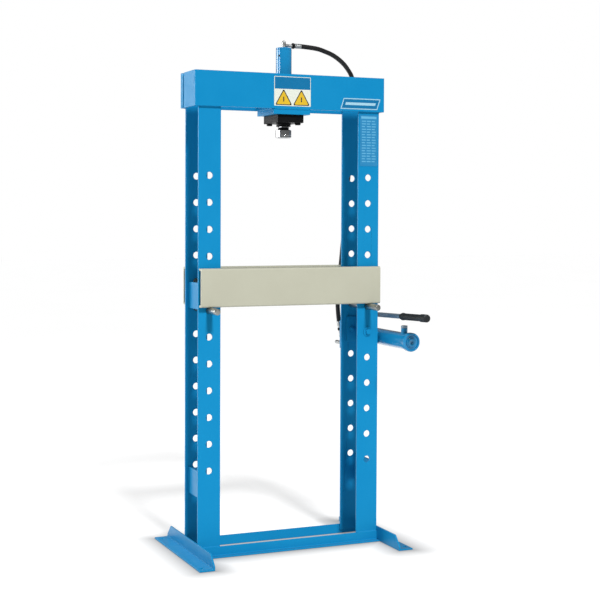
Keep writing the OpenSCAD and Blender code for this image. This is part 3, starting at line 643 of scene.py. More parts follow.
class Nodes:
    """The node tree of one material."""

    def __init__(self, name: str) -> None:
        """Starts a material.

        Args:
            name: the material's name.
        """
        self.material = bpy.data.materials.new(name)
        self.material.use_nodes = True
        self.tree = self.material.node_tree
        self.surface = self.tree.nodes["Principled BSDF"]
        self.place = self.add("ShaderNodeTexCoord").outputs["Object"]

    def add(self, kind: str, **values: object) -> bpy.types.Node:
        """Adds a node.

        Args:
            kind: the node's type.
            values: its properties, or the values of its sockets.

        Returns:
            The node.
        """
        node = self.tree.nodes.new(kind)
        for key, value in values.items():
            if hasattr(node, key):
                setattr(node, key, value)
            else:
                node.inputs[key.replace("_", " ")].default_value = value
        return node

    def link(self, out: bpy.types.NodeSocket, into: bpy.types.NodeSocket) -> None:
        """Joins two sockets."""
        self.tree.links.new(out, into)

    def feed(self, values: Sequence[object], sockets: Sequence[bpy.types.NodeSocket]) -> None:
        """Gives each socket its value.

        Args:
            values: plain values, or sockets that give one.
            sockets: the sockets that take them, in the same order.
        """
        for value, into in zip(values, sockets):
            if isinstance(value, bpy.types.NodeSocket):
                self.link(value, into)
            else:
                into.default_value = value

    def number(self, operation: str, *values: object) -> bpy.types.NodeSocket:
        """Works out a number.

        Args:
            operation: the sum to do.
            values: the numbers that it takes, or sockets that give them.

        Returns:
            The result.
        """
        node = self.add("ShaderNodeMath", operation=operation)
        self.feed(values, node.inputs)
        return node.outputs["Value"]

    def vector(self, operation: str, *values: object) -> bpy.types.NodeSocket:
        """Works out a vector, or the length of one.

        Args:
            operation: the sum to do.
            values: the vectors that it takes, or sockets that give them.

        Returns:
            The result.
        """
        node = self.add("ShaderNodeVectorMath", operation=operation)
        self.feed(values, node.inputs)
        return node.outputs["Value" if operation == "LENGTH" else "Vector"]

    def noise(self, scale: float, detail: float = 2.0,
              stretch: Vec = (1, 1, 1)) -> bpy.types.NodeSocket:
        """A noise over the object.

        Args:
            scale: its features per metre.
            detail: its octaves.
            stretch: how it is squeezed along each axis.

        Returns:
            Its value.
        """
        mapping = self.add("ShaderNodeMapping", Scale=stretch)
        noise = self.add("ShaderNodeTexNoise", Scale=scale, Detail=detail)
        self.link(self.place, mapping.inputs["Vector"])
        self.link(mapping.outputs["Vector"], noise.inputs["Vector"])
        return noise.outputs["Fac"]

    def spread(self, value: bpy.types.NodeSocket, low: float, high: float,
               start: float = 0.3, end: float = 0.7) -> bpy.types.NodeSocket:
        """Maps a value's range onto another.

        Args:
            value: the value.
            low: what the start becomes.
            high: what the end becomes.
            start: the range's start.
            end: the range's end.

        Returns:
            The mapped value.
        """
        node = self.add("ShaderNodeMapRange", From_Min=start, From_Max=end, To_Min=low, To_Max=high)
        self.link(value, node.inputs["Value"])
        return node.outputs["Result"]

    def mixed(self, share: bpy.types.NodeSocket, first: object, second: Colour) -> bpy.types.NodeSocket:
        """Mixes two colours.

        Args:
            share: how much of the second there is.
            first: a colour, or a socket that gives one.
            second: the other colour.

        Returns:
            The mixed colour.
        """
        node = self.add("ShaderNodeMix", data_type="RGBA")
        colours = [s for s in node.inputs if s.type == "RGBA"]
        self.link(share, node.inputs["Factor"])
        if not isinstance(first, bpy.types.NodeSocket):
            first = (*first, 1)
        self.feed((first, (*second, 1)), colours)
        return next(s for s in node.outputs if s.type == "RGBA")

    def dusted(self, colour: bpy.types.NodeSocket, amount: float) -> bpy.types.NodeSocket:
        """Lays pale dust on the faces that look up.

        Args:
            colour: the clean colour.
            amount: the share of dust where it is thickest.

        Returns:
            The colour with its dust.
        """
        parts = self.add("ShaderNodeSeparateXYZ")
        self.link(self.add("ShaderNodeNewGeometry").outputs["Normal"], parts.inputs["Vector"])
        level = self.spread(parts.outputs["Z"], 0, amount, 0.6, 1.0)
        both = self.number("MULTIPLY", level, self.spread(self.noise(18, 4), 0.3, 1))
        return self.mixed(both, colour, DUST)

    def relief(self, finish: Finish) -> bpy.types.NodeSocket:
        """The height of a finish's fine relief.

        Args:
            finish: the finish.

        Returns:
            The height, from 0 to 1.
        """
        if finish.grain is Grain.WRAP:
            wave = self.add("ShaderNodeTexWave", Scale=finish.fine, Distortion=0.6, Detail=1.0)
            wave.bands_direction = "DIAGONAL"
            self.link(self.place, wave.inputs["Vector"])
            return wave.outputs["Fac"]
        octaves = {Grain.PEEL: 1.0, Grain.CAST: 5.0, Grain.LAY: 2.0}[finish.grain]
        return self.noise(finish.fine, octaves, finish.stretch)

    def build(self, finish: Finish) -> bpy.types.Material:
        """Joins the whole tree of a finish.

        Args:
            finish: the finish.

        Returns:
            The material.
        """
        sockets = self.surface.inputs
        drift = self.spread(self.noise(finish.patches, 4), 0, finish.drift)
        colour = self.mixed(drift, finish.colour, finish.patch)
        if finish.dust:
            colour = self.dusted(colour, finish.dust)
        self.link(colour, sockets["Base Color"])
        gloss = self.spread(self.noise(finish.patches * 5, 5, finish.stretch), *finish.gloss)
        self.link(gloss, sockets["Roughness"])
        sockets["Metallic"].default_value = finish.metal
        sockets["Specular IOR Level"].default_value = finish.specular
        sockets["Coat Weight"].default_value = finish.coat
        sockets["Coat Roughness"].default_value = 0.07
        if finish.tinted:
            sockets["Specular Tint"].default_value = (*finish.colour, 1)
        bump = self.add("ShaderNodeBump", Strength=1.0, Distance=finish.depth)
        self.link(self.relief(finish), bump.inputs["Height"])
        self.link(bump.outputs["Normal"], sockets["Normal"])
        return self.material


PAINT = Finish(
    "press_blue_paint", shade(17, 122, 173), shade(26, 131, 180), 0.5, 5.0, (0.28, 0.40),
    specular=0.5, tinted=True, fine=320, depth=0.00003, dust=0.04,
)
GLOSS_PAINT = replace(PAINT, gloss=(0.2, 0.3), coat=0.8, label="press_blue_gloss")
BEIGE = Finish(
    "bed_beige_paint", shade(171, 171, 154), shade(163, 162, 145), 0.5, 7.0, (0.34, 0.48),
    specular=0.4, fine=300, depth=0.00003, dust=0.06,
)
BLACK = Finish(
    "black_oxide_steel", shade(6, 6, 8), shade(15, 15, 17), 0.5, 25.0, (0.36, 0.5),
    metal=0.0, specular=0.11, grain=Grain.CAST, fine=700, depth=0.00002, dust=0.04,
)
CHROME = Finish(
    "chrome", shade(228, 230, 232), shade(205, 208, 212), 0.5, 30.0, (0.06, 0.12),
    metal=1.0, grain=Grain.LAY, fine=60, depth=0.000004, stretch=(1, 1, 40),
)
STEEL = Finish(
    "bright_steel", shade(168, 172, 168), shade(126, 124, 116), 0.6, 22.0, (0.26, 0.4),
    metal=1.0, grain=Grain.LAY, fine=500, depth=0.00001, stretch=(1, 0.06, 1),
)
ZINC = Finish(
    "zinc_plate", shade(176, 180, 182), shade(150, 152, 148), 0.6, 45.0, (0.28, 0.42),
    metal=1.0, grain=Grain.CAST, fine=900, depth=0.00001,
)
SEAL = Finish(
    "seal_rubber", shade(26, 26, 28), shade(38, 38, 40), 0.5, 60.0, (0.5, 0.65),
    grain=Grain.CAST, fine=1200, depth=0.00001,
)
HOSE = Finish(
    "hose_rubber", shade(12, 12, 13), shade(22, 22, 23), 0.5, 30.0, (0.46, 0.62),
    specular=0.3, grain=Grain.WRAP, fine=420, depth=0.00012,
)
GRIP = Finish(
    "grip_rubber", shade(8, 14, 18), shade(18, 24, 28), 0.5, 50.0, (0.42, 0.58),
    specular=0.4, grain=Grain.CAST, fine=1100, depth=0.00003, dust=0.02,
)
BLUE_ZINC = Finish(
    "zinc_plate", shade(136, 154, 168), shade(112, 132, 148), 0.6, 30.0, (0.3, 0.42),
    metal=0.6, grain=Grain.LAY, fine=400, depth=0.00001, stretch=(1, 0.05, 1),
    label="zinc_plate_blue",
)
NOSE = Finish(
    "chrome", shade(184, 186, 187), shade(160, 162, 163), 0.5, 40.0, (0.08, 0.15),
    metal=1.0, grain=Grain.LAY, fine=90, depth=0.000006, stretch=(1, 1, 30), label="chrome_nose",
)
SIGN_WHITE = Finish(
    "capacity_label", shade(206, 211, 200), shade(196, 201, 190), 0.5, 12.0, (0.32, 0.42),
    fine=500, depth=0.00001,
)
SIGN_BLUE = replace(
    SIGN_WHITE, colour=shade(4, 100, 146), patch=shade(8, 106, 152), gloss=(0.3, 0.4),
    specular=0.25, label="capacity_label_blue",
)
SIGN_YELLOW = replace(
    SIGN_BLUE, colour=shade(204, 170, 38), patch=shade(194, 158, 40), patches=20.0,
    specular=0.3, label="capacity_label_yellow",
)
SIGN_BLACK = replace(
    SIGN_WHITE, colour=shade(30, 32, 34), patch=shade(48, 50, 52), patches=20.0,
    gloss=(0.34, 0.44), label="capacity_label_black",
)
BADGE = Finish(
    "badge_label", shade(150, 190, 208), shade(138, 180, 200), 0.5, 30.0, (0.28, 0.4),
    metal=0.0, grain=Grain.LAY, fine=700, depth=0.00001, stretch=(0.05, 1, 1),
)
LEAF = Finish(
    "instruction_label", shade(22, 116, 164), shade(30, 124, 172), 0.5, 14.0, (0.32, 0.42),
    fine=500, depth=0.00001,
)
LEAF_PRINT = replace(
    LEAF, colour=shade(92, 164, 198), patch=shade(74, 152, 190), label="instruction_label_print",
)


def fitted(piece: Piece, body: str, finish: Finish, *nodes: str) -> Piece:
    """Dresses a piece, puts it on its body and reports it.

    Args:
        piece: the finished mesh.
        body: the CAD body that it rides on.
        finish: its finish.
        nodes: the CAD nodes that it stands for.

    Returns:
        The piece.
    """
    piece.data.materials.clear()
    piece.data.materials.append(finish.material())
    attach(piece, body)
    if nodes:
        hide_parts(*nodes)
    log.info("%s on %s, in %s", piece.name, body, finish.slot)
    return piece


def eased(node: str, body: str, finish: Finish, width: float,
          bends: Sequence[Bend] = ()) -> None:
    """Fits an eased copy of a CAD node in the node's place.

    Args:
        node: the CAD node.
        body: the CAD body that it rides on.
        finish: its finish.
        width: how far its edges are eased.
        bends: its bent or rolled corners.
    """
    fitted(eased_copy(node, width, bends), body, finish, node)


def dressed(node: str, finish: Finish) -> None:
    """Gives a CAD node that stays its finish.

    Args:
        node: the CAD node.
        finish: its finish.
    """
    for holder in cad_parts[node].material_slots:
        holder.material = finish.material()
    log.info("%s keeps its CAD shape, in %s", node, finish.slot)


# ---- the studio ---------------------------------------------------------------------------


@dataclass(frozen=True)
class Camera:
    """The camera, level but for a slight downward tilt.

    Attributes:
        at: where it stands.
        heading: its turn to the right of straight ahead, in degrees.
        tilt: how far it looks down, in degrees.
        roll: its roll, in degrees.
        lens: its focal length on a 36 mm sensor, in millimetres.
        shift: its vertical shift.
    """

    at: Vec = (-1.98773, -4.74361, 1.28787)
    heading: float = 23.466
    tilt: float = 1.717
    roll: float = 0.25
    lens: float = 80.11
    shift: float = -0.08

    def set_up(self) -> None:
        """Makes the scene's camera."""
        data = bpy.data.cameras.new("camera")
        data.lens, data.sensor_width, data.shift_y = self.lens, 36, self.shift
        data.clip_end = 60
        camera = added("camera", data)
        turn, tilt, roll = (math.radians(a) for a in (self.heading, self.tilt, self.roll))
        ahead = Vector((math.sin(turn) * math.cos(tilt), math.cos(turn) * math.cos(tilt),
                        -math.sin(tilt)))
        level = Vector((math.cos(turn), -math.sin(turn), 0))
        over = level.cross(ahead)
        right = math.cos(roll) * level + math.sin(roll) * over
        above = math.cos(roll) * over - math.sin(roll) * level
        camera.matrix_world = Matrix.Translation(self.at) @ Matrix(
            (right, above, -ahead)).transposed().to_4x4()
        bpy.context.scene.camera = camera


@dataclass(frozen=True)
class Lamp:
    """A square soft light.

    Attributes:
        name: its name.
        at: where it hangs.
        size: its side.
        power: its power in watts.
    """

    name: str
    at: Vec
    size: float
    power: float

    def hang(self, target: Vec = (0, 0, 0.9)) -> None:
        """Hangs the light so that it faces a point.

        Args:
            target: the point.
        """
        data = bpy.data.lights.new(self.name, "AREA")
        data.size, data.energy = self.size, self.power
        lamp = added(self.name, data)
        lamp.location = self.at
        lamp.rotation_euler = (Vector(target) - Vector(self.at)).to_track_quat("-Z", "Y").to_euler()


@dataclass(frozen=True)
class Studio:
    """A plain pale floor, a pale surround and soft light.

    Attributes:
        lamps: the area lights.
        sun_from: where the broad even light comes from.
        sun_power: its power.
        sun_spread: its angle, in degrees.
        pale: the pale light from all round.
        floor_grey: the floor's lowest and highest grey.
        floor_glow: the light that the floor gives off itself.
        contact_reach: how far the contact shade goes out from the base.
        contact_shade: how light the floor is where the shade is deepest.
        contact_curve: how soon the shade fades; below 1 is sooner.
    """

    lamps: Tuple[Lamp, ...] = (
        Lamp("lamp_rim", (-3.6, 3.4, 2.2), 2.6, 170),
        Lamp("lamp_side", (-3.4, 0.0, 2.1), 1.0, 36),
    )
    sun_from: Vec = (0.0, -1.0, 0.9)
    sun_power: float = 3.4
    sun_spread: float = 9.0
    pale: float = 0.21
    floor_grey: Tuple[float, float] = (0.47, 0.48)
    floor_glow: float = 0.56
    contact_reach: float = 0.11
    contact_shade: float = 0.42
    contact_curve: float = 0.7

    def set_up(self) -> None:
        """Lays the floor and hangs the lights."""
        self.floor()
        self.surround()
        for lamp in self.lamps:
            lamp.hang()
        self.daylight()

    def daylight(self) -> None:
        """Adds the broad even light that reaches the whole floor."""
        data = bpy.data.lights.new("daylight", "SUN")
        data.energy, data.angle = self.sun_power, math.radians(self.sun_spread)
        light = added("daylight", data)
        light.rotation_euler = Vector(self.sun_from).to_track_quat("Z", "Y").to_euler()

    def floor(self) -> None:
        """Lays the floor, a matt sheet that runs far past the view."""
        bpy.ops.mesh.primitive_plane_add(size=60, location=(0, 0, -0.0005))
        floor = settle(bpy.context.object)
        floor.name = "floor"
        nodes = Nodes("floor_sheet")
        sockets = nodes.surface.inputs
        grey = nodes.spread(nodes.noise(0.8, 3), *self.floor_grey)
        # painted contact shadow: the floor's colour and glow are darkened close round the feet and
        # rails
        open_floor = self.contact(nodes)
        nodes.link(nodes.number("MULTIPLY", open_floor, grey), sockets["Base Color"])
        nodes.link(open_floor, sockets["Emission Color"])
        for name, value in (("Roughness", 0.9), ("Specular IOR Level", 0.1),
                            ("Emission Strength", self.floor_glow)):
            sockets[name].default_value = value
        floor.data.materials.append(nodes.material)

    def contact(self, nodes: Nodes) -> bpy.types.NodeSocket:
        """The soft contact shadow painted into the floor's colour and glow close round the press's
        base.

        Args:
            nodes: the floor's node tree.

        Returns:
            1 on the open floor, and less close to the feet and the rails.
        """
        mirrored = nodes.vector("ABSOLUTE", nodes.place)
        foot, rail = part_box("foot_right"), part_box("base_rail_rear")
        gaps = []
        for low, high in ((Vector((foot[0].x, 0, -1)), foot[1]),
                          (Vector((0, rail[0].y, -1)), rail[1])):
            offset = nodes.vector("SUBTRACT", mirrored, (low + high) / 2)
            outside = nodes.vector("SUBTRACT", nodes.vector("ABSOLUTE", offset), (high - low) / 2)
            beyond = nodes.vector("MAXIMUM", outside, (0, 0, 0))
            gaps.append(nodes.vector("LENGTH", beyond))
        nearest = nodes.number("MINIMUM", *gaps)
        fade = nodes.spread(nearest, 0, 1, 0.0, self.contact_reach)
        curved = nodes.number("POWER", fade, self.contact_curve)
        return nodes.spread(curved, self.contact_shade, 1.0, 0.0, 1.0)

    def surround(self) -> None:
        """Sets the even pale light that comes from all round."""
        world = bpy.data.worlds.new("surround")
        world.use_nodes = True
        tree = world.node_tree
        seen = tree.nodes["Background"]
        glow = tree.nodes.new("ShaderNodeBackground")
        for node, strength in ((seen, 1.0), (glow, self.pale)):
            node.inputs["Color"].default_value = (1, 1, 1, 1)
            node.inputs["Strength"].default_value = strength
        mix = tree.nodes.new("ShaderNodeMixShader")
        path = tree.nodes.new("ShaderNodeLightPath")
        tree.links.new(path.outputs["Is Camera Ray"], mix.inputs[0])
        tree.links.new(glow.outputs[0], mix.inputs[1])
        tree.links.new(seen.outputs[0], mix.inputs[2])
        tree.links.new(mix.outputs[0], tree.nodes["World Output"].inputs["Surface"])
        bpy.context.scene.world = world
        bpy.context.scene.view_settings.view_transform = "Standard"


# ---- the hose and its fittings ------------------------------------------------------------


@dataclass(frozen=True)
class Hose:
    """The pressure hose from the cylinder's cap down to the pump.

    Attributes:
        start: where it leaves the upper ferrule.
        end: where it enters the lower ferrule.
        diameter: its outer diameter.
        steps: points from one route point to the next.
        lean: the lower fitting's lean to the left, in degrees.
        drop: from the lower end down to the elbow's corner.
        collar: from the corner up to the elbow's collar.
        nut: from the corner up to the lower nut.
    """

    start: Vec = (0.071, 0.0, 1.926)
    end: Vec = (0.380407, 0.301, 0.832073)
    diameter: float = 0.018
    steps: int = 5
    lean: float = 10.0
    drop: float = 0.061
    collar: float = 0.019
    nut: float = 0.024

    # Each point as its share of the way from the start to the end, in X, Y and Z
    SHARES = (
        (0.126, 0.007, 0.002), (0.249, 0.027, 0.005), (0.372, 0.080, 0.011),
        (0.494, 0.146, 0.018), (0.617, 0.226, 0.029), (0.734, 0.306, 0.044),
        (0.831, 0.379, 0.062), (0.908, 0.435, 0.084), (0.953, 0.478, 0.113),
        (0.973, 0.505, 0.152), (0.979, 0.525, 0.207), (0.966, 0.551, 0.298),
        (0.947, 0.578, 0.408), (0.928, 0.611, 0.527), (0.915, 0.658, 0.645),
        (0.908, 0.718, 0.746), (0.911, 0.791, 0.828), (0.928, 0.870, 0.892),
        (0.957, 0.944, 0.942),
    )

    def route(self) -> List[Vector]:
        """The smooth line through the route's points."""
        start, end = Vector(self.start), Vector(self.end)
        span = end - start
        knots = [start]
        knots += [Vector([start[k] + share[k] * span[k] for k in range(3)]) for share in self.SHARES]
        knots += [end]
        line = []
        for i in range(len(knots) - 1):
            a, b, c = knots[max(i - 1, 0)], knots[i], knots[i + 1]
            d = knots[min(i + 2, len(knots) - 1)]
            for k in range(self.steps):
                t = k / self.steps
                line.append(0.5 * (2 * b + (c - a) * t + (2 * a - 5 * b + 4 * c - d) * t * t
                                   + (3 * b - a - 3 * c + d) * t * t * t))
        return line + [knots[-1]]

    def build(self) -> None:
        line = self.route()
        data = bpy.data.curves.new("made_hydraulic_hose", "CURVE")
        data.dimensions = "3D"
        data.bevel_depth = self.diameter / 2
        data.bevel_resolution = 4
        data.use_fill_caps = True
        spline = data.splines.new("POLY")
        spline.points.add(len(line) - 1)
        for point, at in zip(spline.points, line):
            point.co = (*at, 1)
        spline.use_smooth = True
        hose = added("made_hydraulic_hose", data)
        fitted(hose, "frame", HOSE, "hydraulic_hose")

    def fittings(self) -> None:
        """Makes the elbows, nuts and crimped ferrules at both ends of the hose."""
        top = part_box("cylinder_cap")[1].z
        post = turned("inlet_post", [
            (0, -0.004), (0.0039, -0.004), (0.0039, 0.001), (0.0085, 0.001), (0.0085, 0.006),
            (0.0078, 0.0068), (0.0078, 0.019), (0.0066, 0.025), (0.0030, 0.028), (0, 0.028),
        ], (0, 0, top))
        flats = hexagon("inlet_flats", 0.0147, 0.009, (0, 0, top + 0.0055), UP)
        arm = turned("inlet_arm", [
            (0, 0), (0.0060, 0), (0.0060, 0.017), (0.0052, 0.019), (0.0052, 0.0235),
            (0.0060, 0.0255), (0.0060, 0.034), (0, 0.034),
        ], (0, 0, top + 0.010), RIGHT)
        fitted(joined("made_inlet_elbow", [post, flats, arm]), "frame", ZINC, "inlet_elbow")
        self.nut_and_ferrule("inlet_nut", "hose_ferrule_upper", Vector((0.034, 0, top + 0.010)),
                             Vector(RIGHT))
        angle = math.radians(self.lean)
        lean = Vector((-math.sin(angle), 0, math.cos(angle)))
        corner = Vector(self.end) - self.drop * lean
        elbow = eased_copy("outlet_elbow", 0.0005)
        collar = turned("collar", [(0, 0), (0.0078, 0.0008), (0.0078, 0.0036), (0, 0.0044)],
                        corner + self.collar * lean, lean, 0.0003)
        seat = (corner.x, corner.y - 0.0149, corner.z)
        lock = hexagon("outlet_lock", 0.0185, 0.005, seat, BACK, True)
        fitted(joined("made_outlet_elbow", [elbow, collar, lock]), "frame", ZINC, "outlet_elbow")
        self.nut_and_ferrule("outlet_nut", "hose_ferrule_lower", corner + self.nut * lean, lean)

    def nut_and_ferrule(self, nut: str, ferrule: str, at: Vector, way: Vector) -> None:
        """Makes a swivel nut and the crimped ferrule above it.

        Args:
            nut: the nut's CAD node.
            ferrule: the ferrule's CAD node.
            at: the nut's seat.
            way: from the nut to the hose.
        """
        swivel = hexagon("made_" + nut, 0.019, 0.009, at, way, True)
        fitted(swivel, "frame", BLACK, nut)
        profile = [(0, 0), (0.0070, 0), (0.0070, 0.002), (0.0095, 0.003)]
        for ring in range(4):
            low = 0.006 + ring * 0.0052
            profile += [(0.0095, low), (0.0088, low + 0.0008), (0.0088, low + 0.003),
                        (0.0095, low + 0.0038)]
        profile += [(0.0095, 0.0265), (0.0090, 0.028), (0, 0.028)]
        crimp = turned("made_" + ferrule, profile, at + 0.009 * way, way, 0.0002, 32)
        fitted(crimp, "frame", ZINC, ferrule)


# ---- the welded frame ---------------------------------------------------------------------


@dataclass(frozen=True)
class Frame:
    """The uprights, battens, head beam, feet and rails, with their welds.

    Attributes:
        rolled: the eased edge of the rolled bars.
        cut: the eased edge of the sheared and sawn plates.
        heel: the inside radius of the base angles.
        bead: the radius of the weld beads.
        battens: the lowest and highest edge of each batten.
    """

    rolled: float = 0.0012
    cut: float = 0.0008
    heel: float = 0.003
    bead: float = 0.0032
    battens: Tuple[Tuple[float, float], ...] = ((0.216, 0.316), (0.922, 1.022))

    def build(self) -> None:
        """Makes the frame's plates and lays its welds."""
        for side in ("left", "right"):
            for face in ("front", "rear"):
                self.plate(f"upright_bar_{face}_{side}", self.rolled)
            self.plate(f"battens_{side}", self.cut)
            self.foot(side)
        self.plate("head_beam_front", self.rolled)
        self.head_rear()
        for node in ("head_end_plates", "head_stiffeners", "cylinder_mount_plate"):
            self.plate(node, self.cut)
        self.rail("front")
        self.rail("rear")
        self.head_welds()
        self.upright_welds()
        self.base_welds()

    def plate(self, node: str, width: float, bends: Sequence[Bend] = ()) -> None:
        """Eases one plate of the frame and paints it.

        Args:
            node: the CAD node.
            width: how far its edges are eased.
            bends: its bent or rolled corners.
        """
        eased(node, "frame", PAINT, width, bends)

    def head_rear(self) -> None:
        """Makes the rear head plate, with round bends at its returns."""
        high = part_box("head_beam_rear")[1]
        outer = Bend(UP, lambda at: close(abs(at.x), high.x) and close(at.y, high.y), 0.010, 5)
        self.plate("head_beam_rear", self.cut, [outer])

    def foot(self, side: str) -> None:
        """Makes one foot angle, with its rolled inside corner.

        Args:
            side: left or right.
        """
        node = "foot_" + side
        low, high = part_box(node)
        inner = min(abs(low.x), abs(high.x))
        toe = max(abs(low.x), abs(high.x))
        bends = [
            Bend(BACK, lambda at: close(abs(at.x), inner + 0.006) and 0.005 < at.z < 0.007,
                 self.heel),
            Bend(BACK, lambda at: close(abs(at.x), toe) and at.z > 0.005, 0.0025, 3),
        ]
        self.plate(node, self.cut, bends)

    def rail(self, face: str) -> None:
        """Makes one base rail, with its rolled inside corner.

        Args:
            face: front or rear.
        """
        node = "base_rail_" + face
        low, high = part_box(node)
        outer = max(abs(low.y), abs(high.y))
        bends = [
            Bend(RIGHT, lambda at: close(abs(at.y), outer - 0.025) and 0.004 < at.z < 0.006,
                 self.heel),
            Bend(RIGHT, lambda at: close(abs(at.y), outer) and at.z > 0.004, 0.0022, 3),
        ]
        self.plate(node, self.cut, bends)

    def head_welds(self) -> None:
        """Lays the welds of the head beam and the cylinder's plate."""
        low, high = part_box("head_beam_front")
        plate_low, plate_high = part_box("cylinder_mount_plate")
        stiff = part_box("head_stiffeners")[1].x
        top = high.z - 0.006
        beads = []
        for side in (-1, 1):
            for x in (stiff, stiff - 0.008):
                for y in (high.y, -high.y):
                    beads.append(riser(side * x, y, low.z + 0.004, top, self.bead))
            beads.append(riser(side * (high.x - 0.008), high.y, low.z + 0.006, top, self.bead))
            x = side * plate_high.x
            beads.append(weld_bead((x, plate_low.y + 0.012, low.z),
                                   (x, plate_high.y - 0.012, low.z), self.bead))
        for y in (plate_low.y, plate_high.y):
            beads.append(course(y, low.z, plate_low.x + 0.006, plate_high.x - 0.006, 0.0026))
        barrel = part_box("cylinder_barrel")[1].x
        beads.append(ring_bead((0, 0, plate_high.z), UP, barrel, self.bead))
        fitted(joined("weld_beads_head", beads), "frame", PAINT)

    def upright_welds(self) -> None:
        """Lays the welds of the battens and of the bars under the head beam."""
        bar_low, bar_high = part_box("upright_bar_front_right")
        batten_low, batten_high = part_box("battens_right")
        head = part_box("head_beam_front")[0].z
        beads = []
        for side in (-1, 1):
            for x in (batten_low.x, batten_high.x):
                for y in (-batten_high.y, batten_high.y):
                    for low, high in self.battens:
                        beads.append(riser(side * x, y, low + 0.003, high - 0.003, 0.0028))
            for y in (bar_low.y, -bar_low.y):
                beads.append(course(y, head, side * (bar_low.x + 0.008),
                                    side * (bar_high.x - 0.008), 0.0024))
        fitted(joined("weld_beads_uprights", beads), "frame", PAINT)

    def base_welds(self) -> None:
        """Lays the welds of the feet and the base rails."""
        low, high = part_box("upright_bar_front_right")
        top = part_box("base_rail_front")[1].z
        outer, inner = abs(low.y), abs(high.y)
        beads = []
        for side in (-1, 1):
            x = side * high.x
            for face in (-1, 1):
                beads.append(riser(x, face * inner, 0.018, 0.050, 0.0028))
                beads.append(course(face * outer, top, side * (low.x + 0.004),
                                    side * (high.x - 0.006), 0.0028))
                beads.append(riser(x, face * (outer + 0.005), 0.007, top - 0.002, 0.0026))
        fitted(joined("weld_beads_base", beads), "frame", PAINT)


